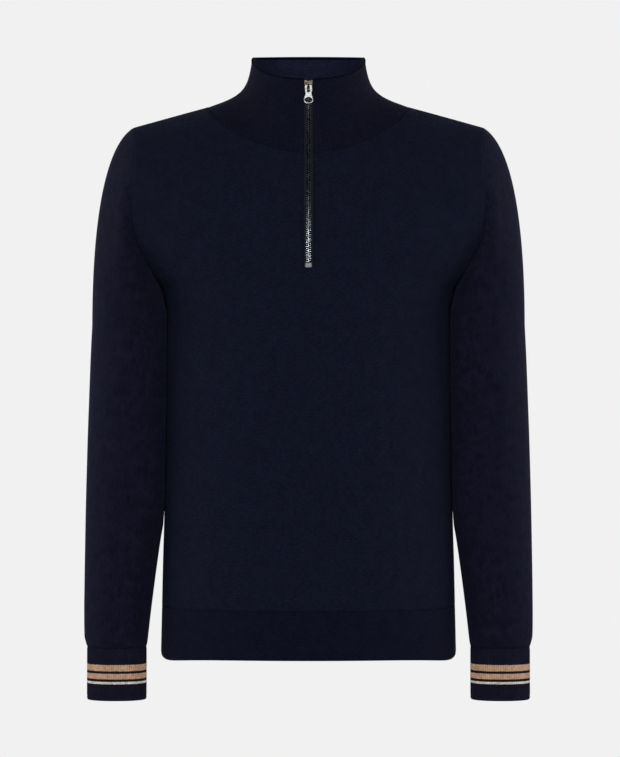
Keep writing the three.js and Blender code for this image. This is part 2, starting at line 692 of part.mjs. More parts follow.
// Slider: a front plate and a rear plate round the chain, joined by a post, with a bail for the tab.
function slider() {
  const { half, low, high, front, back, rear, rearBack } = SLIDER;
  let body = solid(block(half, front, back, low, high));
  body = body.add(solid(block(half, rear, rearBack, low, high)));
  const post = block(SLIDER_POST.half, back - CAST_OVERLAP, rear + CAST_OVERLAP, SLIDER_POST.low, high);
  body = body.add(solid(post));
  const legs = -AXLE_OUT - front - CAST_OVERLAP;
  const arch = new THREE.Shape();
  arch.absarc(0, 0, BAIL.outer, 0, Math.PI, false);
  arch.lineTo(-BAIL.outer, legs);
  arch.lineTo(-BAIL.inner, legs);
  arch.absarc(0, 0, BAIL.inner, Math.PI, 0, true);
  arch.lineTo(BAIL.inner, legs);
  arch.lineTo(BAIL.outer, legs);
  const bailSize = { depth: 2 * BAIL.half, bevelEnabled: false, curveSegments: 10 };
  const bail = new THREE.ExtrudeGeometry(arch, bailSize);
  // The arch's plane is turned to stand along the zip: its own X along Z, its own Y out of the cloth.
  const stand = new THREE.Matrix4().makeBasis(vec(0, 0, 1), vec(0, -1, 0), vec(1, 0, 0));
  bail.applyMatrix4(stand).translate(-BAIL.half, -AXLE_OUT, 0);
  return shapeOf(body.add(solid(bail)));
}

// Pull tab: a flat plate with a slot for the bail, a narrow neck and a round lower end with a wide hole.
function pullTab() {
  const outline = new THREE.Shape();
  outline.moveTo(-TAB_TOP.half, TAB_TOP.z);
  outline.lineTo(TAB_TOP.half, TAB_TOP.z);
  for (const [first, second, end] of TAB_OUTLINE) outline.bezierCurveTo(...first, ...second, ...end);
  const starts = [[TAB_TOP.half, TAB_TOP.z], ...TAB_OUTLINE.map(([, , end]) => end)];
  const left = ([x, z]) => [-x, z];
  for (let k = TAB_OUTLINE.length - 1; k >= 0; k--) {
    const [first, second] = TAB_OUTLINE[k];
    outline.bezierCurveTo(...left(second), ...left(first), ...left(starts[k]));
  }
  const { half, top, foot, corner } = TAB_SLOT;
  const slot = new THREE.Path();
  slot.moveTo(-half, top);
  slot.lineTo(-half, foot + corner);
  slot.quadraticCurveTo(-half, foot, 0, foot);
  slot.quadraticCurveTo(half, foot, half, foot + corner);
  slot.lineTo(half, top);
  const hole = Array.from({ length: TAB_HOLE.corners }, (_, k) => {
    const turn = (k / TAB_HOLE.corners) * 2 * Math.PI;
    return new THREE.Vector2(TAB_HOLE.half * Math.cos(turn), TAB_HOLE.z + TAB_HOLE.rise * Math.sin(turn));
  });
  outline.holes.push(slot, new THREE.Path(hole));
  const plateSize = { depth: TAB_THICK, bevelEnabled: false, curveSegments: 5 };
  const plate = new THREE.ExtrudeGeometry(outline, plateSize);
  return shapeOf(solid(plate)).rotateX(Math.PI / 2).translate(0, TAB_THICK / 2 - AXLE_OUT, 0);
}

const cloth = (colour) => new THREE.MeshStandardMaterial({ color: colour, roughness: 0.92, metalness: 0 });
function metal(colour, rough) {
  return new THREE.MeshStandardMaterial({ color: colour, roughness: rough, metalness: 1 });
}
const navyKnit = cloth("#15172a");
const navyRib = cloth("#11131f");
const tapeCloth = cloth("#2b2e34");
const darkMetal = metal("#55524d", 0.4);
const brightMetal = metal("#c9cace", 0.25);
const stopMetal = metal("#8a8d92", 0.35);

const sweater = new THREE.Group();
function piece(name, geometry, material, holder = sweater) {
  const mesh = new THREE.Mesh(geometry, material);
  mesh.name = name;
  holder.add(mesh);
  return mesh;
}

piece("front_panel", torsoPanel("front"), navyKnit);
piece("back_panel", torsoPanel("back"), navyKnit);
const rightSleeve = sleeve();
piece("sleeve_right", rightSleeve, navyKnit);
piece("sleeve_left", mirrored(rightSleeve), navyKnit);
const rightCuff = cuff();
piece("cuff_right", rightCuff, navyRib);
piece("cuff_left", mirrored(rightCuff), navyRib);
piece("hem_band", hemBand(), navyRib);
piece("collar", collar(), navyRib);

// The zip: tapes and chain along its line, the stop at its foot, the slider and tab near its top.
const line = zipLine();
const foot = line[0].p.z;
const top = line[line.length - 1].p.z;
const tapeStretch = zipStretch(line, foot - TAPE.below, top - TAPE.short);
piece("zip_tape_right", strip(tapeStretch, -TAPE.far, -TAPE.near, TAPE.front, TAPE.back), tapeCloth);
piece("zip_tape_left", strip(tapeStretch, TAPE.near, TAPE.far, TAPE.front, TAPE.back), tapeCloth);
const chainStretch = zipStretch(line, foot + CHAIN.above, AXLE_Z + CHAIN.pastAxle);
piece("zip_chain", strip(chainStretch, -CHAIN.half, CHAIN.half, CHAIN.front, CHAIN.back), darkMetal);
const stopStretch = zipStretch(line, foot, foot + STOP.height);
piece("zip_bottom_stop", strip(stopStretch, -STOP.half, STOP.half, STOP.front, STOP.back), stopMetal);

const [axleStation] = zipStretch(line, AXLE_Z, AXLE_Z + 5);
const zipTop = new THREE.Group();
zipTop.position.copy(axleStation.p);
zipTop.rotation.x = -Math.asin(axleStation.up.y);
sweater.add(zipTop);
piece("zip_slider", slider(), darkMetal, zipTop);
piece("zip_pull", pullTab(), brightMetal, zipTop);

export default sweater;
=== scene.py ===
"""Quarter zip sweater in fine navy knit, filled out as worn, in a plain pale studio."""

import math

import bpy
import numpy as np
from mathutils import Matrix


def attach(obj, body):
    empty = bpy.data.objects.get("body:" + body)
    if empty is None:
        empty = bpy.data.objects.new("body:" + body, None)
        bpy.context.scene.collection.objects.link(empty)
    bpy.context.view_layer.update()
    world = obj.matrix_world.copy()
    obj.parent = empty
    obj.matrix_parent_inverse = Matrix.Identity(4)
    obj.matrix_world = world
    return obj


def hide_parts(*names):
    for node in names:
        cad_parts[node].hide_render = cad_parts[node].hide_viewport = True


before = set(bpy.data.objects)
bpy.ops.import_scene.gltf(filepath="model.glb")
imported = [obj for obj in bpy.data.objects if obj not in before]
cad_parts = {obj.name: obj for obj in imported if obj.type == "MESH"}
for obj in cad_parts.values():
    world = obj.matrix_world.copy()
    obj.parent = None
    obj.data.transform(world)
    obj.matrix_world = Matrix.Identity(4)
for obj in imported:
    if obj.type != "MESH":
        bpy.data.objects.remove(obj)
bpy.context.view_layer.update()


# Camera: level with the middle of the sweater and straight in front of it, on a long lens, so that
# the sweater fills the frame as in the photo. Its lens follows from the height that it takes in.
CAMERA_AWAY = 4.0
CAMERA_X = 0.0018
CAMERA_Z = -0.327
VIEW_HEIGHT = 0.9084
SENSOR_MM = 36.0
camera_data = bpy.data.cameras.new("camera")
camera_data.sensor_width = SENSOR_MM
camera_data.lens = SENSOR_MM * CAMERA_AWAY / VIEW_HEIGHT
camera_data.clip_end = 60.0
camera = bpy.data.objects.new("camera", camera_data)
camera.location = (CAMERA_X, -CAMERA_AWAY, CAMERA_Z)
camera.rotation_euler = (math.pi / 2, 0.0, 0.0)
bpy.context.scene.collection.objects.link(camera)
bpy.context.scene.camera = camera


# Studio: a pale seamless floor that curves up behind, an even white surround, a broad soft light
# in front and two tall ones at the sides, which brush the outer edges of the sleeves.
FLOOR_Z = -1.15
FLOOR_HALF = 14.0
PALE = 0.8796
FLOOR_GLOW = 0.30
SURROUND = 0.24
BLACK = (0.0, 0.0, 0.0, 1.0)
WHITE = (1.0, 1.0, 1.0, 1.0)
bpy.context.scene.view_settings.view_transform = "Standard"


def grid_faces(rows, columns, closed_rows=False, closed_columns=False):
    """Corner numbers of each cell of a grid of points: (i, j), (i, j+1), (i+1, j+1), (i+1, j)."""
    i, j = np.meshgrid(
        np.arange(rows if closed_rows else rows - 1),
        np.arange(columns if closed_columns else columns - 1),
        indexing="ij",
    )
    up, on = (i + 1) % rows, (j + 1) % columns
    cells = np.stack([i * columns + j, i * columns + on, up * columns + on, up * columns + j], axis=-1)
    return cells.reshape(-1, 4)


def new_piece(name, points, faces, material, uv=None, smooth=True):
    """A mesh object at the origin from points (n, 3), quads (m, 4) and a uv for each corner (m, 4, 2)."""
    mesh = bpy.data.meshes.new(name)
    mesh.vertices.add(len(points))
    mesh.vertices.foreach_set("co", np.asarray(points, dtype=np.float32).ravel())
    mesh.loops.add(faces.size)
    mesh.loops.foreach_set("vertex_index", faces.astype(np.int32).ravel())
    mesh.polygons.add(len(faces))
    mesh.polygons.foreach_set("loop_start", np.arange(0, faces.size, faces.shape[1], dtype=np.int32))
    mesh.polygons.foreach_set("use_smooth", np.full(len(faces), smooth))
    if uv is not None:
        layer = mesh.uv_layers.new(name="cloth")
        layer.data.foreach_set("uv", np.asarray(uv, dtype=np.float32).ravel())
    mesh.update(calc_edges=True)
    mesh.validate()
    mesh.materials.append(material)
    piece = bpy.data.objects.new(name, mesh)
    bpy.context.scene.collection.objects.link(piece)
    return piece


def material_nodes(name):
    """A new material, its shader, a function that adds a node and one that feeds a node's sockets."""
    material = bpy.data.materials.new(name)
    material.use_nodes = True
    nodes, links = material.node_tree.nodes, material.node_tree.links

    def feed(node, values):
        """Gives sockets of a node, by name or number, a plain value or the output of another node."""
        for key, value in values.items():
            if isinstance(value, bpy.types.NodeSocket):
                links.new(value, node.inputs[key])
            else:
                node.inputs[key].default_value = value

    def add(kind, values=None):
        """Adds a node of a kind and feeds its sockets."""
        node = nodes.new("ShaderNode" + kind)
        feed(node, values or {})
        return node

    return material, nodes["Principled BSDF"], add, feed


def studio_material():
    """An evenly lit pale sheet: its glow rises from the floor in front to the wall behind the sweater."""
    material, shader, add, feed = material_nodes("studio_paper")
    split = add("SeparateXYZ", {0: add("TexCoord").outputs["Object"]})
    glow = add("MapRange", {
        "Value": split.outputs["Y"], "From Min": 0.4, "From Max": 3.0, "To Min": FLOOR_GLOW, "To Max": PALE,
    })
    glow.interpolation_type = "SMOOTHSTEP"
    feed(shader, {
        "Roughness": 1.0, "Specular IOR Level": 0.0, "Base Color": BLACK,
        "Emission Color": WHITE, "Emission Strength": glow.outputs[0],
    })
    return material


def sweep_profile():
    """Side view of the seamless sheet: flat floor, a quarter circle, then a straight wall."""
    front_y, wall_y, top_z, radius = -9.0, 7.0, 9.0, 3.0
    turn = np.linspace(0.0, math.pi / 2, 24)
    y = np.concatenate([[front_y], wall_y - radius + radius * np.sin(turn), [wall_y]])
    z = np.concatenate([[FLOOR_Z], FLOOR_Z + radius - radius * np.cos(turn), [top_z]])
    return y, z


sheet_y, sheet_z = sweep_profile()
sheet_x = np.linspace(-FLOOR_HALF, FLOOR_HALF, 3)
backdrop_points = np.stack(
    np.broadcast_arrays(sheet_x[None, :], sheet_y[:, None], sheet_z[:, None]), axis=-1
)
backdrop = new_piece(
    "backdrop", backdrop_points.reshape(-1, 3), grid_faces(len(sheet_y), len(sheet_x)), studio_material()
)

world = bpy.data.worlds.new("surround")
world.use_nodes = True
world.node_tree.nodes["Background"].inputs["Color"].default_value = WHITE
world.node_tree.nodes["Background"].inputs["Strength"].default_value = SURROUND
bpy.context.scene.world = world


def soft_light(name, place, aim, size, watts):
    """A square area light at a place, turned to face the aim point."""
    data = bpy.data.lights.new(name, "AREA")
    data.shape = "RECTANGLE"
    data.size, data.size_y = size
    data.energy = watts
    light = bpy.data.objects.new(name, data)
    light.location = place
    way = np.subtract(aim, place)
    flat = math.hypot(way[0], way[1])
    light.rotation_euler = (math.atan2(flat, -way[2]), 0.0, math.atan2(-way[0], way[1]))
    bpy.context.scene.collection.objects.link(light)
    return light


AIM = (0.0, 0.0, -0.35)
# Name, place, width and height, and watts of each light.
LIGHTS = (
    ("front_light", (0.0, -4.3, 0.3), (2.2, 1.6), 108.0),
    ("side_light_right", (-2.8, 0.3, -0.30), (1.2, 2.2), 35.0),
    ("side_light_left", (2.8, 0.3, -0.30), (1.2, 2.2), 35.0),
)
for light_name, light_place, light_size, light_watts in LIGHTS:
    soft_light(light_name, light_place, AIM, light_size, light_watts)


# Front and back: two fully fashioned panels of plain fine-gauge knit in navy wool, shaped on the
# machine and joined at the sides and shoulders. The front has a slit for the zip. Near the armholes
# the stitches were moved in, which leaves a row of small slanting marks.
WALL = 0.002
SEAM_GAP = 0.0003
HEM_Z = -0.655
BAND_SEAM_Z = -0.599
ARMPIT_Z = -0.222
SHOULDER_Z = -0.0262
# Height, half width, depth of the front and of the back at the middle.
TORSO = np.array([
    (-0.655, 0.1770, 0.1190, 0.1120),
    (-0.600, 0.1756, 0.1185, 0.1100),
    (-0.545, 0.1744, 0.1180, 0.1075),
    (-0.497, 0.1730, 0.1175, 0.1060),
    (-0.400, 0.1714, 0.1175, 0.1065),
    (-0.300, 0.1705, 0.1190, 0.1100),
    (-0.250, 0.1707, 0.1200, 0.1130),
    (-0.222, 0.1746, 0.1200, 0.1145),
    (-0.204, 0.1840, 0.1197, 0.1150),
    (-0.183, 0.1950, 0.1188, 0.1155),
    (-0.165, 0.2035, 0.1175, 0.1155),
    (-0.148, 0.2080, 0.1155, 0.1150),
    (-0.115, 0.2100, 0.1100, 0.1125),
    (-0.080, 0.2070, 0.1005, 0.1080),
    (-0.050, 0.2070, 0.0905, 0.1025),
    (-0.0262, 0.2095, 0.0840, 0.0980),
    (0.030, 0.2095, 0.0720, 0.0840),
])
SECTION_POWER = 2.4
SHOULDER_X = 0.2095
SHOULDER_SLOPE = 0.284
RIDGE_SOFTNESS = 0.040
ARMHOLE_DEPTH = {"front": 0.070, "back": 0.066}
ARMHOLE_MID_Z = (SHOULDER_Z + ARMPIT_Z) / 2
ARMHOLE_RISE = (SHOULDER_Z - ARMPIT_Z) / 2
NECK_X = 0.1206
NECK_FRONT_Z = -0.0625
NECK_BACK_Z = -0.012
SLIT_HALF = 0.0056
SHOULDER_SHARE = 1 / 3
SLIT_RISE = (1 - math.cos(math.pi / 4)) / 2
NAVY = (0.0073, 0.0086, 0.0205, 1.0)
WALE = 0.00115
COURSE = 0.00085
YARN_STREAKS = (210.0, 560.0, 1.0)
# Shares of the stitch's height: its ridge, its loop and the fibres on it. Then how far a loop slants
# beside its ridge, how much the height darkens the grooves as painted shade, how much the streaks vary
# the yarn's own tone, and the range of their sum.
RIDGE_SHARE = 0.65
LOOP_SHARE = 0.3
FIBRE_SHARE = 0.5
LOOP_SLANT = 1.5
GROOVE_PAINTED_SHADE = 0.8
STREAK_SHADE = 2.4
SHADE_RANGE = (1.4, 3.0)
FIBRE_SCALE = 1400.0
CLOUD_SCALE = 85.0
BAND_MARGIN = 0.002
BLUE_SHINE = (0.50, 0.58, 1.0, 1.0)
BLUE_BLOOM = (0.56, 0.64, 1.0, 1.0)
MIRROR = np.array([-1.0, 1.0, 1.0])
SLOPE_STEP = 5e-5
# Powers of the neck seam: how it bows across, and how it drops towards the front.
NECK_BOW = 0.85
NECK_DROP = (1.7, 0.64)


def column(rows, key):
    """One column of a table as a smooth function of height that never overshoots its rows: a monotone
    cubic, with each inner slope the harmonic mean of the slopes beside it."""
    order = np.argsort(rows[:, 0])
    z, v = rows[order, 0], rows[order, key]
    step = np.diff(v) / np.diff(z)
    product = step[:-1] * step[1:]
    total = np.where(step[:-1] + step[1:] == 0, 1.0, step[:-1] + step[1:])
    inner = np.where(product > 0, 2 * product / total, 0.0)
    slope = np.concatenate([[step[0]], inner, [step[-1]]])

    def at(height):
        """The value at a height: the cubic between two rows that has their values and slopes."""
        height = np.clip(height, z[0], z[-1])
        i = np.clip(np.searchsorted(z, height, side="right") - 1, 0, len(z) - 2)
        span = z[i + 1] - z[i]
        t = (height - z[i]) / span
        u = 1 - t
        curve = v[i] * (1 + 2 * t) * u * u + v[i + 1] * (3 - 2 * t) * t * t
        return curve + (slope[i] * u - slope[i + 1] * t) * t * u * span

    return at


half_width = column(TORSO, 1)
torso_depth = {"front": column(TORSO, 2), "back": column(TORSO, 3)}


def ridge_height(x):
    """Height of the shoulder ridge: straight outside, rounded over the middle."""
    run = np.hypot(x, RIDGE_SOFTNESS) - math.hypot(SHOULDER_X, RIDGE_SOFTNESS)
    return SHOULDER_Z - SHOULDER_SLOPE * run


def depth_squared(x, z, side):
    """Squared depth of the torso: a superellipse across from the middle's depth to the armhole edge's,
    times one minus the square of the share of the shoulder's rounding that is left above."""
    t = np.clip((z - ARMHOLE_MID_Z) / ARMHOLE_RISE, -1.0, 0.0)
    edge = (ARMHOLE_DEPTH[side] * np.sqrt(1 - t * t)) ** SECTION_POWER
    middle = torso_depth[side](z) ** SECTION_POWER
    q = middle - (middle - edge) * (np.abs(x) / half_width(z)) ** SECTION_POWER
    left = 1 - np.minimum(1.0, (ridge_height(x) - z) / ARMHOLE_RISE)
    return np.sign(q) * np.abs(q) ** (2 / SECTION_POWER) * (1 - left * left)


def torso_point(x, z, side):
    """Points of the torso's outer face, and the directions that face out there: the slope of y squared less
    the squared depth."""
    facing = -1.0 if side == "front" else 1.0
    y = facing * np.sqrt(np.maximum(0.0, depth_squared(x, z, side)))
    h = SLOPE_STEP
    dx = (depth_squared(x - h, z, side) - depth_squared(x + h, z, side)) / (2 * h)
    dz = (depth_squared(x, z - h, side) - depth_squared(x, z + h, side)) / (2 * h)
    normal = np.stack([dx, 2 * y, dz], axis=-1)
    normal /= np.linalg.norm(normal, axis=-1, keepdims=True)
    return np.stack([x, y, z], axis=-1), normal


def middle_gap(side):
    """Half the gap at the middle of a panel's neck: the slit's in front, none behind."""
    return SLIT_HALF if side == "front" else 0.0


def neck_place(side, share):
    """Neck seam of the right half: share 0 is on the shoulder ridge and 1 at the middle. Across it follows
    a power of the cosine, and it drops on a superellipse in front and an ellipse behind."""
    gap = middle_gap(side)
    x = gap + (NECK_X - gap) * np.cos(np.minimum(share, 1.0) * math.pi / 2) ** NECK_BOW
    s = np.minimum(1.0, x / NECK_X)
    top = ridge_height(NECK_X)
    if side == "front":
        z = top + (NECK_FRONT_Z - top) * (1 - s ** NECK_DROP[0]) ** NECK_DROP[1]
    else:
        z = top + (NECK_BACK_Z - top) * np.sqrt(1 - s * s)
    return -x, z


def grid_normals(points, closed_columns):
    """Unit normals of a grid from the differences to its neighbours, across times up."""
    if closed_columns:
        across = np.roll(points, -1, axis=1) - np.roll(points, 1, axis=1)
    else:
        across = np.gradient(points, axis=1)
    normal = np.cross(across, np.gradient(points, axis=0))
    return normal / np.linalg.norm(normal, axis=-1, keepdims=True)


def run_lengths(points, axis):
    """Lengths run along a grid or path of points from its start: sums of its steps, from nought."""
    steps = np.linalg.norm(np.diff(points, axis=axis), axis=-1)
    start = np.zeros_like(steps.take([0], axis=axis))
    return np.concatenate([start, np.cumsum(steps, axis=axis)], axis=axis)


def arc_uv(points, closed_columns):
    """Lengths along the cloth: across each row from its middle, and up each column, in metres."""
    wide = np.concatenate([points, points[:, :1]], axis=1) if closed_columns else points
    u = run_lengths(wide, 1)
    u -= u[:, u.shape[1] // 2][:, None]
    return np.stack([u, run_lengths(wide, 0)], axis=-1)


def faces_in(points, faces):
    """Whether a closed skin of quads faces in: its signed volume, summed over its cells, is below nought."""
    corners = points[faces]
    halves = np.cross(corners[:, 1], corners[:, 2]) + np.cross(corners[:, 2], corners[:, 3])
    return np.einsum("ij,ij->", corners[:, 0], halves) < 0


def knitted_wall(name, outer, normal, thick, material, closed_columns=False, keep=None):
    """A closed wall: the outer grid, the same grid moved in along its normals, and a rim on open edges."""
    rows, columns = outer.shape[:2]
    faces = grid_faces(rows, columns, closed_columns=closed_columns)
    uv_grid = arc_uv(outer, closed_columns)
    uv = uv_grid.reshape(-1, 2)[grid_faces(rows, uv_grid.shape[1])]
    if keep is not None:
        faces, uv = faces[keep.ravel()], uv[keep.ravel()]
    start, stop = faces.ravel(), np.roll(faces, -1, axis=1).ravel()
    count = rows * columns
    edge_uv = np.stack([uv.reshape(-1, 2), np.roll(uv, -1, axis=1).reshape(-1, 2)], axis=1)
    open_edge = ~np.isin(start * count + stop, stop * count + start)
    start, stop, edge_uv = start[open_edge], stop[open_edge], edge_uv[open_edge]
    rim = np.stack([stop, start, start + count, stop + count], axis=-1)
    rim_uv = np.stack([edge_uv[:, 1], edge_uv[:, 0], edge_uv[:, 0], edge_uv[:, 1]], axis=1)
    points = np.concatenate([outer.reshape(-1, 3), (outer - thick * normal).reshape(-1, 3)])
    all_faces = np.concatenate([faces, faces[:, ::-1] + count, rim])
    all_uv = np.concatenate([uv, uv[:, ::-1], rim_uv])
    used, packed = np.unique(all_faces, return_inverse=True)
    packed = packed.reshape(all_faces.shape)
    if faces_in(points[used], packed):
        packed, all_uv = packed[:, ::-1], all_uv[:, ::-1]
    return new_piece(name, points[used], packed, material, all_uv)


# A fold's end fades over this share of its length, its rise at the ends is this share of the middle's,
# and past its ends it falls off this fast.
FOLD_FADE = 0.35
FOLD_END = 0.55
FOLD_FALL = 4


def soft_folds(a, b, folds):
    """Sum of long soft ridges and troughs: each falls off as a bell across its line and past its ends."""
    total = np.zeros(np.broadcast(a, b).shape)
    for a0, b0, a1, b1, width, rise in folds:
        da, db = a1 - a0, b1 - b0
        length = math.hypot(da, db)
        along = ((a - a0) * da + (b - b0) * db) / length
        across = ((a - a0) * db - (b - b0) * da) / length
        past = np.maximum(0.0, np.maximum(-along, along - length)) / (FOLD_FADE * length + width)
        middle = FOLD_END + (1 - FOLD_END) * np.sin(np.clip(along / length, 0.0, 1.0) * math.pi)
        total += rise * middle * np.exp(-((across / width) ** 2) - past * past * FOLD_FALL)
    return total


def knit_material(name, colour, wale=WALE, course=COURSE, relief=0.00022, sheen=0.018, bands=None,
                  contrast=0.43):
    """Fine wool knit: rows of V stitches as bump and as painted shade, darker in their grooves, on the
    cloth's own lengths, uneven yarn as short level streaks, a soft bloom of sheen at grazing angles, and
    flat coloured bands by height if given."""
    material, shader, add, feed = material_nodes(name)

    def math_node(kind, *values):
        """The result of a kind of sum on one or two values."""
        node = add("Math", dict(enumerate(values)))
        node.operation = kind
        return node.outputs[0]

    place = add("TexCoord")
    split = add("SeparateXYZ", {0: place.outputs["UV"]})
    # Each wale is a ridge from -1/2 to 1/2, and its stitches slant down to its middle from both sides.
    wales = math_node("DIVIDE", split.outputs["X"], wale)
    beside = math_node("ABSOLUTE", math_node("SUBTRACT", math_node("FRACT", wales), 0.5))
    ridge = math_node("COSINE", math_node("MULTIPLY", beside, math.pi))
    slant = math_node("MULTIPLY", beside, LOOP_SLANT)
    stitches = math_node("ADD", math_node("DIVIDE", split.outputs["Y"], course), slant)
    loop = math_node("SINE", math_node("MULTIPLY", stitches, 2 * math.pi))
    height = math_node(
        "ADD", math_node("MULTIPLY", ridge, RIDGE_SHARE), math_node("MULTIPLY", loop, LOOP_SHARE)
    )

    fibre = add("TexNoise", {"Scale": FIBRE_SCALE, "Detail": 3.0, "Vector": place.outputs["Object"]})
    rough_height = math_node("ADD", height, math_node("MULTIPLY", fibre.outputs["Fac"], FIBRE_SHARE))
    bump = add("Bump", {"Strength": 0.8, "Distance": relief, "Height": rough_height})

    stretched = add("VectorMath", {0: place.outputs["UV"], 1: YARN_STREAKS})
    stretched.operation = "MULTIPLY"
    mottle = add("TexNoise", {"Scale": 1.0, "Detail": 3.0, "Vector": stretched.outputs[0]})
    cloud = add("TexNoise", {"Scale": CLOUD_SCALE, "Detail": 2.0, "Vector": place.outputs["Object"]})
    streaks = math_node("MULTIPLY", mottle.outputs["Fac"], STREAK_SHADE)
    uneven = math_node("ADD", streaks, cloud.outputs["Fac"])
    # Painted shade: the yarn is darkened in the grooves between the stitches' ridges; the streaks and clouds
    # add the yarn's own uneven tone.
    shade = add("MapRange", {
        "Value": math_node("ADD", math_node("MULTIPLY", height, GROOVE_PAINTED_SHADE), uneven),
        "From Min": SHADE_RANGE[0], "From Max": SHADE_RANGE[1],
        "To Min": 1 - contrast, "To Max": 1 + contrast,
    })
    grey = add("CombineColor", dict.fromkeys(("Red", "Green", "Blue"), shade.outputs[0]))

    base = colour
    if bands:
        low, high = bands[0][0] - BAND_MARGIN, bands[-1][1] + BAND_MARGIN
        # The bands change colour along the stitches' own V shape.
        rise = add("SeparateXYZ", {0: place.outputs["Object"]})
        jagged = math_node("ADD", rise.outputs["Z"], math_node("MULTIPLY", beside, course * 0.5))
        share = add("MapRange", {"Value": jagged, "From Min": low, "From Max": high})
        ramp = add("ValToRGB", {"Fac": share.outputs[0]})
        ramp.color_ramp.interpolation = "CONSTANT"
        spots = [(0.0, colour)]
        for band_low, band_high, band_colour in bands:
            spots.append(((band_low - low) / (high - low), band_colour))
            spots.append(((band_high - low) / (high - low), colour))
        while len(ramp.color_ramp.elements) < len(spots):
            ramp.color_ramp.elements.new(0.5)
        for element, (spot, tint) in zip(ramp.color_ramp.elements, spots):
            element.position = spot
            element.color = tint
        base = ramp.outputs["Color"]
    # The base colour times that factor: the yarn's uneven tone together with the painted groove shade.
    yarn_tone_and_painted_shade = add("Mix")
    yarn_tone_and_painted_shade.data_type = "RGBA"
    yarn_tone_and_painted_shade.blend_type = "MULTIPLY"
    feed(yarn_tone_and_painted_shade, {"Factor": 1.0, "A": base, "B": grey.outputs[0]})
    feed(shader, {
        "Base Color": yarn_tone_and_painted_shade.outputs["Result"], "Normal": bump.outputs["Normal"],
        "Roughness": 0.9, "Specular IOR Level": 0.06, "Specular Tint": BLUE_SHINE,
        "Sheen Weight": sheen, "Sheen Roughness": 0.4, "Sheen Tint": BLUE_BLOOM,
    })
    return material


navy_knit = knit_material("navy_knit", NAVY, sheen=0.013)

# Folds of the torso by side: start and end (x, height), half width and rise of each soft crease.
TORSO_FOLDS = {
    "front": (
        (-0.160, -0.235, -0.095, -0.300, 0.016, -0.0022),
        (-0.155, -0.215, -0.105, -0.235, 0.013, 0.0016),
        (-0.165, -0.300, -0.120, -0.380, 0.018, 0.0012),
        (0.160, -0.240, 0.100, -0.315, 0.017, -0.0024),
        (0.158, -0.216, 0.108, -0.246, 0.013, 0.0018),
        (0.165, -0.330, 0.125, -0.420, 0.020, 0.0013),
        (-0.185, -0.150, -0.150, -0.100, 0.016, -0.0018),
        (0.185, -0.155, 0.148, -0.100, 0.017, -0.0018),
        (-0.140, -0.560, -0.060, -0.590, 0.014, 0.0010),
        (0.130, -0.555, 0.055, -0.588, 0.014, 0.0011),
        (0.030, -0.470, 0.075, -0.560, 0.026, 0.0010),
        (-0.060, -0.440, -0.030, -0.540, 0.030, -0.0009),
    ),
    "back": (
        (-0.165, -0.240, -0.090, -0.310, 0.018, -0.0024),
        (0.162, -0.236, 0.095, -0.300, 0.017, -0.0022),
        (-0.120, -0.400, -0.030, -0.440, 0.020, 0.0018),
        (0.115, -0.415, 0.025, -0.450, 0.021, 0.0017),
        (-0.100, -0.470, 0.010, -0.500, 0.018, -0.0015),
        (-0.180, -0.160, -0.130, -0.110, 0.018, -0.0018),
        (0.180, -0.160, 0.130, -0.112, 0.018, -0.0018),
    ),
}
FINE_ACROSS = 80
FINE_LOWER = 110
FINE_UPPER = 72
EDGE_CALM = 0.022


def panel_grid(side):
    """Right half of a panel: rows rise from the hem seam, level up to the armpit and then turning into the
    line of the shoulder and the neck; columns run from the side edge to the middle."""
    gap = middle_gap(side)
    cell = np.linspace(0.0, 1.0, FINE_ACROSS + 1)
    low = np.cos(cell * math.pi / 2) ** (2 / SECTION_POWER)
    low[-1] = 0.0
    shoulder_x = SHOULDER_X + (NECK_X - SHOULDER_X) * cell / SHOULDER_SHARE
    neck_x, neck_z = neck_place(side, np.clip((cell - SHOULDER_SHARE) / (1 - SHOULDER_SHARE), 0.0, 1.0))
    on_neck = cell > SHOULDER_SHARE
    top_x = np.where(on_neck, -neck_x, shoulder_x)
    top_z = np.where(on_neck, neck_z, ridge_height(shoulder_x))
    top = (top_x - gap) / (half_width(top_z) - gap)
    lower = np.linspace(BAND_SEAM_Z, ARMPIT_Z, FINE_LOWER, endpoint=False)
    rise = (1 - np.cos(np.linspace(0.0, math.pi, FINE_UPPER + 1))) / 2
    z = np.concatenate([
        np.broadcast_to(lower[:, None], (FINE_LOWER, FINE_ACROSS + 1)),
        ARMPIT_Z + rise[:, None] * (top_z - ARMPIT_Z),
    ])
    rise = np.concatenate([np.zeros(FINE_LOWER), rise])[:, None]
    share = low + (top - low) * rise * rise * (3 - 2 * rise)
    x = -(gap + (half_width(z) - gap) * share)
    return x, z


# How deep the last rows roll in at a linked seam and at a side seam, and how wide the roll is. Beside
# the zip the edge turns in by the first and swells by the second: depth, width and distance.
SEAM_ROLL = 0.0003
SIDE_ROLL = 0.00008
ROLL_WIDTH = 0.0014
SLIT_TURN = (0.0009, 0.0016, 0.0)
SLIT_SWELL = (0.0004, 0.0022, 0.0045)


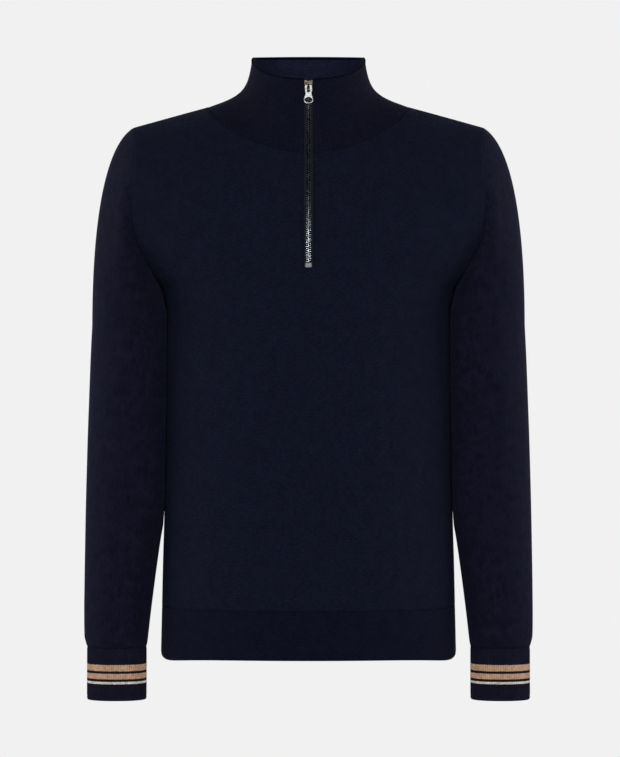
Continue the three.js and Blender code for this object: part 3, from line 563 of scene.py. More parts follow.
def torso_panel(name, side):
    """A panel from its right half and the mirror of it, with folds, rolled seam edges and the zip's slit."""
    x, z = panel_grid(side)
    points, normals = torso_point(x, z, side)
    gap = middle_gap(side)
    skip = 0 if gap else 1
    points = np.concatenate([points, points[:, ::-1][:, skip:] * MIRROR], axis=1)
    normals = np.concatenate([normals, normals[:, ::-1][:, skip:] * MIRROR], axis=1)
    lift = soft_folds(points[..., 0], points[..., 2], TORSO_FOLDS[side])
    # The folds die out at every edge, and the last few millimetres before a seam roll in.
    rows, columns = lift.shape
    up, across = run_lengths(points, 0), run_lengths(points, 1)
    to_side = np.minimum(across, across[:, -1:] - across)
    to_ends = np.minimum(up, up[-1:] - up)
    edge = np.minimum(to_side, to_ends)
    lift *= 1 - np.exp(-((edge / EDGE_CALM) ** 2))
    lift -= SEAM_ROLL * np.exp(-((to_ends / ROLL_WIDTH) ** 2))
    lift -= SIDE_ROLL * np.exp(-((to_side / ROLL_WIDTH) ** 2))
    keep = np.ones((rows - 1, columns - 1), dtype=bool)
    if gap:
        slit_row = FINE_LOWER + int(round(FINE_UPPER * math.acos(1 - 2 * SLIT_RISE) / math.pi))
        keep[slit_row:, FINE_ACROSS] = False
        beside = np.where(np.arange(rows)[:, None] >= slit_row, np.abs(points[..., 0]) - gap, 1.0)
        for sign, (rise, width, spot) in ((-1, SLIT_TURN), (1, SLIT_SWELL)):
            lift += sign * rise * np.exp(-(((beside - spot) / width) ** 2))
    points = points + lift[..., None] * normals
    fine = grid_normals(points, False)
    fine *= np.sign(np.einsum("ijk,ijk->ij", fine, normals))[..., None]
    fine[:, [0, -1]] = normals[:, [0, -1]]
    return knitted_wall(name, points, fine, WALL, navy_knit, keep=keep)


front = torso_panel("front_knit", "front")
back = torso_panel("back_knit", "back")
for piece, node in ((front, "front_panel"), (back, "back_panel")):
    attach(piece, "garment")
    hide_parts(node)


# Sleeves: each is one fully fashioned panel closed along the underarm, set into the armhole. It
# hangs beside the body and narrows to the cuff, with a few soft creases at the crook of the arm.
# Height, outer and inner edge from the middle of the body, half depth, and how far back the middle sits.
ARM = np.array([
    (-0.262, 0.2592, 0.1724, 0.0660, 0.0000),
    (-0.301, 0.2612, 0.1721, 0.0645, 0.0010),
    (-0.350, 0.2631, 0.1722, 0.0615, 0.0015),
    (-0.400, 0.2649, 0.1726, 0.0580, 0.0010),
    (-0.440, 0.2660, 0.1732, 0.0550, 0.0000),
    (-0.478, 0.2669, 0.1740, 0.0520, -0.0015),
    (-0.521, 0.2676, 0.1778, 0.0480, -0.0040),
    (-0.569, 0.2682, 0.1840, 0.0435, -0.0070),
    (-0.612, 0.2684, 0.1893, 0.0395, -0.0100),
    (-0.634, 0.2680, 0.1917, 0.0370, -0.0115),
    (-0.642, 0.2663, 0.1927, 0.0350, -0.0120),
    (-0.647, 0.2648, 0.1936, 0.0335, -0.0123),
])
ARM_POWER = 2.2
CAP_BEND = math.radians(-15)
FOLD_POWER = 1.9
CAP_PULL = (0.150, 0.062, 0.034)
CUFF_SEAM_Z = -0.647
FINE_ROUND = 128
FINE_CAP = 70
FINE_ARM = 130
CAP_TURN_STEP = 0.01
CAP_SPREAD = 1.3
arm_outer, arm_inner, arm_depth, arm_middle = (column(ARM, key) for key in range(1, 5))


def armhole(angle):
    """The right armhole all round: angle 0 is the shoulder point and a quarter turn the front."""
    z = ARMHOLE_MID_Z + ARMHOLE_RISE * np.cos(angle)
    x = -half_width(z)
    ahead, behind = torso_point(x, z, "front"), torso_point(x, z, "back")
    pick = (np.sin(angle) >= 0)[..., None]
    return np.where(pick, ahead[0], behind[0]), np.where(pick, ahead[1], behind[1])


def arm_point(z, angle):
    """A ring of the right arm at a height: a superellipse between its outer and inner edge."""
    def bulge(v):
        """A cosine or sine pushed out to the superellipse: its size to 2 over the arm's power."""
        return np.sign(v) * np.abs(v) ** (2 / ARM_POWER)

    middle = -(arm_outer(z) + arm_inner(z)) / 2
    half = (arm_outer(z) - arm_inner(z)) / 2
    x = middle - half * bulge(np.cos(angle))
    y = arm_middle(z) - arm_depth(z) * bulge(np.sin(angle))
    return np.stack(np.broadcast_arrays(x, y, z), axis=-1)


ARMHOLE_GAP = 0.00004


def sleeve_grid():
    """Right sleeve: cubic curves from the armhole's edge, which leave it level at the top and folded back
    under the arm, to the first ring of the arm, and then the arm's rings down to the cuff seam."""
    angle = np.arange(FINE_ROUND) / FINE_ROUND * 2 * math.pi
    start, start_normal = armhole(angle)
    along = armhole(angle + CAP_TURN_STEP)[0] - armhole(angle - CAP_TURN_STEP)[0]
    beyond = np.cross(along, start_normal)
    beyond /= np.linalg.norm(beyond, axis=-1, keepdims=True)
    under = (1 - np.cos(angle)) / 2
    fold = (CAP_BEND + (math.pi - CAP_BEND) * under**FOLD_POWER)[:, None]
    away = np.cos(fold) * beyond + np.sin(fold) * start_normal
    start = start + ARMHOLE_GAP * (np.cos(fold / 2) * beyond + np.sin(fold / 2) * start_normal)
    pull = np.interp(under, (0.0, 0.5, 1.0), CAP_PULL)[:, None]
    end = arm_point(np.full(FINE_ROUND, ARM[0, 0]), angle)
    arrive = np.linalg.norm(end - start, axis=-1, keepdims=True) * np.array([0.0, 0.0, -1.0])
    t = np.linspace(0.0, 1.0, FINE_CAP + 1)[:, None, None] ** CAP_SPREAD
    u = 1 - t
    cap = start * (1 + 2 * t) * u * u + pull * away * t * u * u
    cap = cap + end * (3 - 2 * t) * t * t - arrive * u * t * t
    z = np.linspace(ARM[0, 0], CUFF_SEAM_Z, FINE_ARM + 1)[1:, None]
    rings = arm_point(z, angle[None, :])
    return np.concatenate([cap, rings]), angle


# Folds of the sleeves: start and end (turn round the arm in parts of 1, height), half width and rise.
# Turn 0.25 is the front of the arm and 0.5 the side towards the body.
SLEEVE_FOLDS = {
    "right": (
        (0.30, -0.225, 0.18, -0.290, 0.014, -0.0018),
        (0.33, -0.250, 0.22, -0.330, 0.014, 0.0015),
        (0.22, -0.410, 0.33, -0.440, 0.013, 0.0016),
        (0.20, -0.436, 0.32, -0.470, 0.012, -0.0014),
        (0.24, -0.475, 0.36, -0.500, 0.014, 0.0014),
        (0.62, -0.420, 0.78, -0.450, 0.016, 0.0018),
        (0.10, -0.600, 0.40, -0.615, 0.010, 0.0012),
        (0.12, -0.622, 0.36, -0.630, 0.007, -0.0010),
        (0.70, -0.605, 0.95, -0.620, 0.010, 0.0013),
    ),
    "left": (
        (0.28, -0.205, 0.14, -0.250, 0.013, -0.0022),
        (0.24, -0.160, 0.12, -0.215, 0.014, 0.0018),
        (0.33, -0.260, 0.20, -0.345, 0.015, 0.0015),
        (0.20, -0.400, 0.34, -0.425, 0.013, 0.0016),
        (0.22, -0.428, 0.33, -0.462, 0.012, -0.0015),
        (0.62, -0.430, 0.80, -0.465, 0.016, 0.0018),
        (0.14, -0.595, 0.38, -0.612, 0.010, 0.0013),
        (0.10, -0.618, 0.34, -0.628, 0.007, -0.0010),
        (0.68, -0.600, 0.92, -0.618, 0.010, 0.0013),
    ),
}
SLEEVE_ROUND = 0.33
# Painted light: the sleeves are the same cloth as the body, coloured a lighter and redder navy so that they
# read brighter.
SLEEVE_NAVY_PAINTED_LIGHT = (0.0093, 0.0092, 0.0228, 1.0)
sleeve_knit_painted_light = knit_material("navy_sleeve_painted_light", SLEEVE_NAVY_PAINTED_LIGHT, relief=0.00026, sheen=0.024, contrast=0.66)


SLEEVE_CALM = 0.018
# The lean on the body: how far, its middle and width round the arm in degrees, the heights between
# which it starts and ends, and the gap that it leaves.
LEAN = 0.0085
LEAN_TURN = (152.0, 30.0)
LEAN_FOOT = (-0.54, -0.46)
LEAN_TOP = (-0.250, -0.228)
BODY_CLEAR = 0.0009


def soft_step(value, low, high):
    """Rises from 0 at low to 1 at high along the smooth cubic 3 t^2 - 2 t^3."""
    t = np.clip((value - low) / (high - low), 0.0, 1.0)
    return t * t * (3 - 2 * t)


def lean_on_body(points, angle):
    """Moves the side of the arm that is ahead of the body's side seam in, until it rests on the body."""
    y, z = points[..., 1], points[..., 2]
    depth = np.where(y < 0, torso_depth["front"](z), torso_depth["back"](z))
    share = np.clip(np.abs(y) / depth, 0.0, 1.0)
    body = half_width(z) * (1 - share**SECTION_POWER) ** (1 / SECTION_POWER)
    turn = np.exp(-(((np.degrees(angle) - LEAN_TURN[0]) / LEAN_TURN[1]) ** 2))[None, :]
    height = soft_step(z, *LEAN_FOOT) * (1 - soft_step(z, *LEAN_TOP))
    x = np.abs(points[..., 0])
    leaned = np.maximum(x - LEAN * turn * height, np.minimum(x, body + BODY_CLEAR))
    moved = points.copy()
    moved[..., 0] = -leaned
    return moved


def arm_normals(points):
    """Unit normals of the right sleeve's grid, turned to face out of the arm."""
    normals = grid_normals(points, True)
    return -normals if normals[-1, 0, 0] > 0 else normals


def sleeve(side):
    """A sleeve with its folds, which die out at both seams; the left one is the mirror of the right."""
    points, angle = sleeve_grid()
    normals = arm_normals(points)
    turn = np.broadcast_to(angle / (2 * math.pi), points.shape[:2])
    folds = [
        (a0 * SLEEVE_ROUND, z0, a1 * SLEEVE_ROUND, z1, width, rise)
        for a0, z0, a1, z1, width, rise in SLEEVE_FOLDS[side]
    ]
    lift = soft_folds(turn * SLEEVE_ROUND, points[..., 2], folds)
    up = run_lengths(points, 0)
    edge = np.minimum(up, up[-1:] - up)
    lift *= 1 - np.exp(-((edge / SLEEVE_CALM) ** 2))
    lift -= SIDE_ROLL * np.exp(-((up / ROLL_WIDTH) ** 2))
    lift -= SEAM_ROLL * np.exp(-(((up[-1:] - up) / ROLL_WIDTH) ** 2))
    # Towards the body the cloth can only give inwards.
    inwards = np.clip(-np.cos(angle), 0.0, 1.0)[None, :] ** 2
    lift = np.where(lift > 0, lift * (1 - inwards), lift)
    points = lean_on_body(points + lift[..., None] * normals, angle)
    normals = arm_normals(points)
    if side == "left":
        points, normals = points * MIRROR, normals * MIRROR
    return knitted_wall(f"sleeve_{side}_knit", points, normals, WALL, sleeve_knit_painted_light, closed_columns=True)


for side in ("right", "left"):
    piece = sleeve(side)
    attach(piece, "garment")
    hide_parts(f"sleeve_{side}")


# Hem band: a plain doubled tube of the same knit, linked on round the bottom of both panels, with a
# soft turned edge. It hangs a little lower at the sides, and its lower corners are rounded.
BAND_WALL = 0.0026
SIDE_DIP = 0.0066
HEM_DROP = 0.0015
HEM_CORNER = (0.010, 0.0065)
CORNER_POWER = 6
DIP_POWER = 4
BAND_ROUND = 480
BAND_ROWS = 44
BAND_TUCK = (0.006, 0.0035)
# A turned tube: rows of its bends, share of half the wall that its top bends over, height and width of
# the roll at its seam, and height, place above the tuck and width of the line where its edge lies.
TUBE_BENDS = 6
TUBE_TOP = 0.4
TUBE_ROLL = (0.0004, 0.0016)
TUBE_LINE = (0.00025, 0.001, 0.0006)
BAND_NAVY = (0.0060, 0.0064, 0.0165, 1.0)
navy_band = knit_material("navy_band", BAND_NAVY, wale=0.0011, course=0.0008)


def turned_tube(name, ring, low, high, wall, material, steps, tuck):
    """A closed tube of cloth from a ring function (height, distance in from the outer face): up the outside,
    over the top, down the inside and round the turned lower edge, carried round the ring. The lower edge
    tucks in on a quarter ellipse of the tuck's height and depth."""
    half = wall / 2
    top = high - half * TUBE_TOP
    up = np.linspace(low + half, top, steps)
    bend = np.linspace(0.0, math.pi, TUBE_BENDS + 2)[1:-1]
    heights = np.concatenate([
        up, top + half * TUBE_TOP * np.sin(bend), up[::-1], low + half - half * np.sin(bend)
    ])
    depths = np.concatenate([
        np.zeros(steps), half - half * np.cos(bend), np.full(steps, wall), half + half * np.cos(bend)
    ])
    depths[:steps] += TUBE_ROLL[0] * np.exp(-(((high - up) / TUBE_ROLL[1]) ** 2))
    below = np.clip((low + tuck[0] - heights) / tuck[0], 0.0, 1.0)
    depths += tuck[1] * (1 - np.sqrt(1 - below * below))
    # A faint line where the doubled cloth's own edge lies inside.
    rise, spot, width = TUBE_LINE
    depths += rise * np.exp(-(((heights - low - tuck[0] - spot) / width) ** 2))
    points = ring(heights[:, None], depths[:, None])
    rows, columns = points.shape[:2]
    faces = grid_faces(rows, columns, closed_rows=True, closed_columns=True)
    wide = np.concatenate([points, points[:, :1]], axis=1)
    u = run_lengths(wide[0], 0)
    v = np.concatenate([heights, heights[:1]])
    uv_grid = np.stack(np.broadcast_arrays(u[None, :], v[:, None]), axis=-1)
    uv = uv_grid.reshape(-1, 2)[grid_faces(rows + 1, columns + 1)]
    if faces_in(points.reshape(-1, 3), faces):
        faces, uv = faces[:, ::-1], uv[:, ::-1]
    return new_piece(name, points.reshape(-1, 3), faces, material, uv)


def band_ring(z, depth):
    """A level section of the torso, both sides, moved in by the depth. Its lower corners tuck in on an
    ellipse and it dips at the sides, each by a power of the turn's cosine."""
    turn = np.linspace(0.0, 2 * math.pi, BAND_ROUND, endpoint=False)[None, :]
    share = np.abs(np.cos(turn)) ** (2 / SECTION_POWER)
    level = np.maximum(np.broadcast_to(z, (len(z), turn.shape[1])), HEM_Z)
    x = -np.sign(np.cos(turn)) * share * half_width(level)
    ahead, behind = torso_point(x, level, "front"), torso_point(x, level, "back")
    pick = (np.sin(turn) >= 0)[..., None]
    points = np.where(pick, ahead[0], behind[0])
    normals = np.where(pick, ahead[1], behind[1])
    below = np.clip((HEM_Z + HEM_CORNER[0] - z) / HEM_CORNER[0], 0.0, 1.0)
    tuck = HEM_CORNER[1] * (1 - np.sqrt(1 - below * below)) * np.abs(np.cos(turn)) ** CORNER_POWER
    points = points - normals * (depth + tuck)[..., None]
    lower = np.clip((BAND_SEAM_Z - z) / (BAND_SEAM_Z - HEM_Z), 0, 1)
    points[..., 2] = z - (HEM_DROP + SIDE_DIP * np.abs(np.cos(turn)) ** DIP_POWER) * lower
    return points


band = turned_tube(
    "hem_band_knit", band_ring, HEM_Z, BAND_SEAM_Z - SEAM_GAP, BAND_WALL, navy_band, BAND_ROWS, BAND_TUCK
)
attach(band, "garment")
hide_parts("hem_band")


# Cuffs: tubes of one by one rib linked onto the sleeves, with two tan bands and a thin cream line
# knitted in. Their ribs are the thread's own ridges, so they run through the bands.
CUFF_BOTTOM_Z = -0.710
CUFF_DEPTH = 0.0325
CUFF_RIBS = 72
CUFF_WALL = 0.0024
RIB_HEIGHT = 0.0007
RIB_POWER = 1.2
CUFF_TUCK = (0.0035, 0.0014)
CUFF_DRIFT = 0.03
RIB_POINTS = 6
CUFF_ROWS = 40
CUFF_NAVY = (0.0098, 0.0092, 0.0200, 1.0)
TAN = (0.57, 0.35, 0.225, 1.0)
CREAM = (0.72, 0.68, 0.60, 1.0)
CUFF_BANDS = (
    (-0.6898, -0.6870, CREAM),
    (-0.6840, -0.6775, TAN),
    (-0.6745, -0.6670, TAN),
)
cuff_rib = knit_material(
    "cuff_rib", CUFF_NAVY, wale=0.0029, course=0.0009, relief=0.00025, bands=CUFF_BANDS
)


def rib_ridge(phase):
    """Height of a rib by its phase: a power of the cosine, a round ridge with a narrower groove."""
    return RIB_HEIGHT * (np.abs(np.cos(phase * math.pi)) ** RIB_POWER - 1.0)


def cuff_ring(side):
    """Ring of a cuff: the sleeve's last ring made as deep as the cuff, with ribs on both its faces."""
    def ring(z, depth):
        """The ring at heights, moved in by depths and back a little as it goes down."""
        turn = np.linspace(0.0, 2 * math.pi, CUFF_RIBS * RIB_POINTS, endpoint=False)[None, :]
        edge = arm_point(np.full(turn.shape, CUFF_SEAM_Z), turn)
        middle_x = -(arm_outer(CUFF_SEAM_Z) + arm_inner(CUFF_SEAM_Z)) / 2
        middle = np.array([middle_x, arm_middle(CUFF_SEAM_Z), 0.0])
        way = (edge - middle) * np.array([1.0, CUFF_DEPTH / arm_depth(CUFF_SEAM_Z), 0.0])
        reach = np.linalg.norm(way, axis=-1, keepdims=True)
        face = np.where(depth < CUFF_WALL / 2, 1.0, -1.0)[..., None]
        out = rib_ridge(turn / (2 * math.pi) * CUFF_RIBS)[..., None] * face
        points = middle + way * (reach + out - depth[..., None]) / reach
        points[..., 2] = z
        points[..., 1] -= (CUFF_SEAM_Z - points[..., 2]) * CUFF_DRIFT
        if side == "left":
            points[..., 0] *= -1.0
        return points

    return ring


for side in ("right", "left"):
    cuff = turned_tube(
        f"cuff_{side}_rib", cuff_ring(side), CUFF_BOTTOM_Z, CUFF_SEAM_Z - SEAM_GAP, CUFF_WALL, cuff_rib,
        CUFF_ROWS, CUFF_TUCK,
    )
    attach(cuff, "garment")
    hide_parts(f"cuff_{side}")


# Collar: one standing band of one by one rib, linked on round the neck. Its lower part spreads over
# the shoulders, it turns up to the neck, and its two front ends are finished along the zip.
RIM_X = 0.0674
RIM_Y = {"front": 0.072, "back": 0.062}
RIM_Z = {"front": 0.0273, "side": 0.0585, "back": 0.0648}
RIM_DIP = {"front": 0.9, "back": 1.0}
COLLAR_WALL = 0.0024
COLLAR_RIBS = {"front": 39, "back": 36}
COLLAR_TURN = {"front": (0.36, 0.40), "side": (0.09, 0.25), "back": (0.25, 0.30)}
TURN_TIGHTNESS = 0.9
COLLAR_NAVY = (0.0058, 0.0063, 0.0146, 1.0)
# Painted light: the collar's inside is the same rib, coloured a lighter navy so that it reads brighter.
COLLAR_INSIDE_PAINTED_LIGHT = (0.0128, 0.0136, 0.0325, 1.0)
# Painted shade: a darker navy on the rows round the rim stands for the shadow of its rolled edge.
COLLAR_RIM_PAINTED_SHADE = (0.0022, 0.0025, 0.0075, 1.0)
COLLAR_RELIEF = 0.35
# Rows on each side of the rim that take the painted shade.
SHADED_RIM_ROWS = 3
RIM_POWER = 0.92
RIB_WIDE = 0.0028
# Rows of the lower part and of the finer upper part, and the shares of the way up where one ends and
# the other starts.
COLLAR_ROWS = (26, 14)
COLLAR_UPPER = (0.88, 0.89)
# How far the middle swells, how the seam rolls in (depth, width), the bead under the rim (height, place,
# width) and where the rim's own round starts.
COLLAR_SWELL = 0.0008
COLLAR_ROLL = (0.0003, 0.03)
RIM_BEAD = (0.0007, 0.97, 0.022)
RIM_START = 0.985
collar_rib = knit_material(
    "collar_rib", COLLAR_NAVY, wale=RIB_WIDE, course=0.0009, relief=0.00010, sheen=0.014
)
collar_inside_painted_light = knit_material("collar_inside_painted_light", COLLAR_INSIDE_PAINTED_LIGHT, wale=0.0014, course=0.0009, relief=0.00004)
collar_rim_painted_shade = knit_material("collar_rim_painted_shade", COLLAR_RIM_PAINTED_SHADE, wale=RIB_WIDE, course=0.0009, relief=0.00008, sheen=0.0)


def collar_curves(side, turn):
    """Four points of each place's cubic curve: on the neck seam, two near the knee, and on the rim."""
    share = 1 - turn / (math.pi / 2)
    x, z = neck_place(side, share)
    seam, _ = torso_point(x, z, side)
    facing = -1.0 if side == "front" else 1.0
    level = np.cos(turn)
    rim = np.stack([
        -(middle_gap(side) + (RIM_X - middle_gap(side)) * np.sin(turn)),
        facing * RIM_Y[side] * np.abs(level) ** RIM_POWER,
        RIM_Z["side"] + (RIM_Z[side] - RIM_Z["side"]) * np.abs(level) ** RIM_DIP[side],
    ], axis=-1)
    bend = level**2
    near = COLLAR_TURN["side"][0] + (COLLAR_TURN[side][0] - COLLAR_TURN["side"][0]) * bend
    rise = COLLAR_TURN["side"][1] + (COLLAR_TURN[side][1] - COLLAR_TURN["side"][1]) * bend
    knee = rim + (seam - rim) * near[:, None]
    knee[:, 2] = seam[:, 2] + (rim[:, 2] - seam[:, 2]) * rise
    first = seam + (knee - seam) * TURN_TIGHTNESS
    second = rim + (knee - rim) * TURN_TIGHTNESS
    return seam, first, second, rim


def collar_half(v):
    """Right half of the collar's outer face: cubic curves with v from 0 at the seam to 1 at the rim."""
    front_turn = np.linspace(0.0, math.pi / 2, COLLAR_RIBS["front"] * RIB_POINTS, endpoint=False)
    back_turn = np.linspace(math.pi / 2, 0.0, COLLAR_RIBS["back"] * RIB_POINTS + 1)
    ahead, behind = collar_curves("front", front_turn), collar_curves("back", back_turn)
    a, b, c, d = (np.concatenate([one, two])[None, :] for one, two in zip(ahead, behind))
    v = v[:, None, None]
    u = 1 - v
    return a * u**3 + 3 * b * v * u * u + 3 * c * v * v * u + d * v**3


def collar_piece():
    """The collar as one closed skin: up the outside, over the soft rim, down the smooth inside, and across
    at the seam and the two front ends. Its outer face has ribs, a half sine of swell and a bell of bead.
    Its inside takes a lighter navy, painted light, and the rows round its rim a darker one, painted shade."""
    steps = sum(COLLAR_ROWS)
    v = np.concatenate([
        np.linspace(0.0, COLLAR_UPPER[0], COLLAR_ROWS[0]), np.linspace(COLLAR_UPPER[1], 1.0, COLLAR_ROWS[1])
    ])
    half = collar_half(v)
    outer = np.concatenate([half, half[:, ::-1][:, 1:] * MIRROR], axis=1)
    normal = grid_normals(outer, False)
    if normal[steps // 2, outer.shape[1] // 2, 1] < 0:
        normal = -normal
    normal[:, [0, -1], 0] = 0.0
    normal /= np.linalg.norm(normal, axis=-1, keepdims=True)
    phase = np.arange(outer.shape[1]) / RIB_POINTS
    ridge = rib_ridge(phase)[None, :]
    ends = np.minimum(phase, phase[-1] - phase)
    ridge = np.where(ends < 0.5, 0.0, ridge)
    # A doubled rib stands a little fuller in its middle and rolls in at the seam and at the rim.
    swell = COLLAR_SWELL * np.sin(v * math.pi) - COLLAR_ROLL[0] * np.exp(-((v / COLLAR_ROLL[1]) ** 2))
    height, spot, width = RIM_BEAD
    bead = height * np.exp(-(((v - spot) / width) ** 2))
    over = np.clip((v - RIM_START) / (1 - RIM_START), 0.0, 1.0)
    roll = COLLAR_WALL / 2 * (1 - np.sqrt(1 - over**2))
    swell, bead, roll = swell[:, None], bead[:, None], roll[:, None]
    outside = outer + (ridge * COLLAR_RELIEF + swell + bead - roll)[..., None] * normal
    inside = outer + (-COLLAR_WALL - bead + roll)[..., None] * normal
    skin = np.concatenate([outside, inside[::-1]])
    rows, columns = skin.shape[:2]
    faces = grid_faces(rows, columns, closed_rows=True)
    wide = arc_uv(outer, False)
    u = np.broadcast_to(phase[None, :] * RIB_WIDE, (steps, columns))
    uv_half = np.stack([u, wide[..., 1]], axis=-1)
    uv_grid = np.concatenate([uv_half, uv_half[::-1], uv_half[:1]])
    uv = uv_grid.reshape(-1, 2)[grid_faces(rows + 1, columns)]
    # The two front ends: a strip between the outer and the inner face.
    ends_faces, ends_uv = [], []
    row = np.arange(steps - 1)
    for j, turned in ((0, True), (columns - 1, False)):
        strip = np.stack([
            row * columns + j, (row + 1) * columns + j,
            (rows - 2 - row) * columns + j, (rows - 1 - row) * columns + j,
        ], axis=-1)
        ends_faces.append(strip[:, ::-1] if turned else strip)
        ends_uv.append(uv_grid[:steps][row][:, [j] * 4])
    faces = np.concatenate([faces, *ends_faces])
    uv = np.concatenate([uv, *ends_uv])
    if faces_in(skin.reshape(-1, 3), faces):
        faces, uv = faces[:, ::-1], uv[:, ::-1]
    piece = new_piece("collar_knit", skin.reshape(-1, 3), faces, collar_rib, uv)
    piece.data.materials.append(collar_inside_painted_light)
    piece.data.materials.append(collar_rim_painted_shade)
    # Material slots by face: 1 for the inside's painted light, 2 for the rim's painted shade.
    inner = np.zeros(len(faces), dtype=np.int32)
    inner[steps * (columns - 1):(2 * steps - 1) * (columns - 1)] = 1
    inner[(steps - SHADED_RIM_ROWS) * (columns - 1):(steps + SHADED_RIM_ROWS) * (columns - 1)] = 2
    piece.data.polygons.foreach_set("material_index", inner)
    return piece


collar = collar_piece()
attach(collar, "garment")
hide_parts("collar")


# Zip tapes: two narrow charcoal tapes of woven twill, sewn behind the edges of the slit and of the
# collar's front, with a fine cord along the teeth.
SLIT_FOOT_Z = ARMPIT_Z + (NECK_FRONT_Z - ARMPIT_Z) * SLIT_RISE
ZIP_STATIONS = 9
ZIP_COLLAR_STATIONS = (0.15, 0.32, 0.5, 0.68, 0.84, 1.0)
ZIP_SHIFT = 0.000175
NECK_ROUND = 0.066
TAPE_NEAR = 0.0019
TAPE_FAR = 0.0150
TAPE_DEPTH = 0.0028
TAPE_WALL = 0.0008
ZIP_STEP = 0.0006
# The cord along the teeth: its height, its distance from the middle and its width.
TAPE_CORD = (0.0003, 0.0034, 0.0005)
TAPE_GRID = (200, 12)
TAPE_GREY = (0.0045, 0.0058, 0.0125, 1.0)


def zip_line():
    """Heights and depths of the zip's line: the slit's edge on the panel, then the collar's front edge."""
    z = np.linspace(SLIT_FOOT_Z + 0.0004, NECK_FRONT_Z - 0.004, ZIP_STATIONS)
    low, _ = torso_point(np.full(ZIP_STATIONS, SLIT_HALF), z, "front")
    a, b, c, d = (point[0] for point in collar_curves("front", np.zeros(1)))
    v = np.array(ZIP_COLLAR_STATIONS)[:, None]
    high = a * (1 - v) ** 3 + 3 * b * v * (1 - v) ** 2 + 3 * c * v * v * (1 - v) + d * v**3
    stations = np.concatenate([low, high])
    return stations[:, 2], stations[:, 1] - ZIP_SHIFT


zip_z, zip_y = zip_line()
zip_profile = column(np.stack([zip_z, zip_y], axis=-1), 1)
ZIP_FOOT_Z = zip_z[0]
ZIP_TOP_Z = zip_z[-1]


def zip_place(z):
    """Points of the zip's line at heights, with the way out of the cloth and the way up along it."""
    h = ZIP_STEP
    slope = (zip_profile(z + h) - zip_profile(z - h)) / (2 * h)
    length = np.hypot(1.0, slope)
    zero = np.zeros_like(z)
    up = np.stack([zero, slope / length, 1 / length], axis=-1)
    out = np.stack([zero, -1 / length, slope / length], axis=-1)
    return np.stack([zero, zip_profile(z), z], axis=-1), out, up


def zip_point(x, z, depth):
    """A point beside the zip's line, behind the cloth's face by the depth, rounded back as the neck is."""
    place, out, _ = zip_place(z)
    point = place - out * (depth + x * x / (2 * NECK_ROUND))[..., None]
    point[..., 0] = x
    return point


def tinted(colour, share):
    """A colour with its three parts times a share."""
    return tuple(share * part for part in colour[:3]) + (1.0,)


def weave_material():
    """Charcoal twill tape: slanting ribs as bump and as painted shade, darker in their grooves, with a
    little sheen.
    """
    material, shader, add, feed = material_nodes("zip_tape")
    wave = add("TexWave", {"Scale": 900.0, "Distortion": 0.6, "Vector": add("TexCoord").outputs["UV"]})
    wave.wave_type = "BANDS"
    wave.bands_direction = "DIAGONAL"
    # Painted shade: the wave that raises the ribs also darkens the tape between them.
    ramp = add("ValToRGB", {"Fac": wave.outputs["Fac"]})
    for element, share in zip(ramp.color_ramp.elements, (0.55, 1.45)):
        element.color = tinted(TAPE_GREY, share)
    bump = add("Bump", {"Strength": 0.6, "Distance": 0.00012, "Height": wave.outputs["Fac"]})
    feed(shader, {
        "Base Color": ramp.outputs["Color"], "Normal": bump.outputs["Normal"],
        "Roughness": 0.75, "Specular IOR Level": 0.2,
    })
    return material


zip_tape = weave_material()
tape_z = np.linspace(ZIP_FOOT_Z - 0.001, ZIP_TOP_Z - 0.0015, TAPE_GRID[0])
for side, sign in (("right", -1.0), ("left", 1.0)):
    tape_x = sign * np.linspace(TAPE_NEAR, TAPE_FAR, TAPE_GRID[1])
    cord_rise, cord_x, cord_width = TAPE_CORD
    edge_cord = cord_rise * np.exp(-(((np.abs(tape_x) - cord_x) / cord_width) ** 2))
    tape_points = zip_point(
        *np.broadcast_arrays(tape_x[None, :], tape_z[:, None], (TAPE_DEPTH - edge_cord)[None, :])
    )
    tape_normals = np.broadcast_to(zip_place(tape_z)[1][:, None, :], tape_points.shape)
    tape = knitted_wall(f"tape_{side}", tape_points, tape_normals, TAPE_WALL, zip_tape)
    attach(tape, "garment")
    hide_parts(f"zip_tape_{side}")


# Zip teeth: stamped metal teeth clamped on the tapes' edges, in turn from the right and from the left,
# shown closed from the bottom stop up to the slider.
TOOTH_PITCH = 0.0025
TEETH_DEPTH = 0.0029
STOP_HEIGHT = 0.0068
CHAIN_CLEAR = 0.0004
CHAIN_OVER = 0.0010
TOOTH_SHIFT = 0.25
TOOTH_SOFTNESS = 0.6
AXLE_Z = 0.0172
# Section of a tooth: distance from the middle, half height along the zip and half depth.
TOOTH = np.array([
    (0.00285, 0.00020, 0.00080),
    (0.00270, 0.00034, 0.00112),
    (0.00175, 0.00036, 0.00120),
    (0.00145, 0.00030, 0.00085),
    (0.00105, 0.00032, 0.00080),
    (0.00075, 0.00048, 0.00110),
    (-0.00015, 0.00048, 0.00110),
    (-0.00045, 0.00024, 0.00060),
])


def metal_material(name, colour, rough, patina, scale):
    """Worn metal: a base colour darkened by the patina in small patches, which are also a little rougher."""
    material, shader, add, feed = material_nodes(name)
    noise = add("TexNoise", {"Scale": scale, "Detail": 4.0, "Vector": add("TexCoord").outputs["Object"]})
    ramp = add("ValToRGB", {"Fac": noise.outputs["Fac"]})
    dark, plain = ramp.color_ramp.elements
    dark.position, plain.position = 0.35, 0.62
    dark.color, plain.color = tinted(colour, 1 - patina), colour
    wear = add("MapRange", {"Value": noise.outputs["Fac"], "To Min": rough + 0.1, "To Max": rough - 0.05})
    bump = add("Bump", {"Strength": 0.25, "Distance": 0.00005, "Height": noise.outputs["Fac"]})
    feed(shader, {
        "Metallic": 1.0, "Base Color": ramp.outputs["Color"], "Roughness": wear.outputs[0],
        "Normal": bump.outputs["Normal"],
    })
    return material


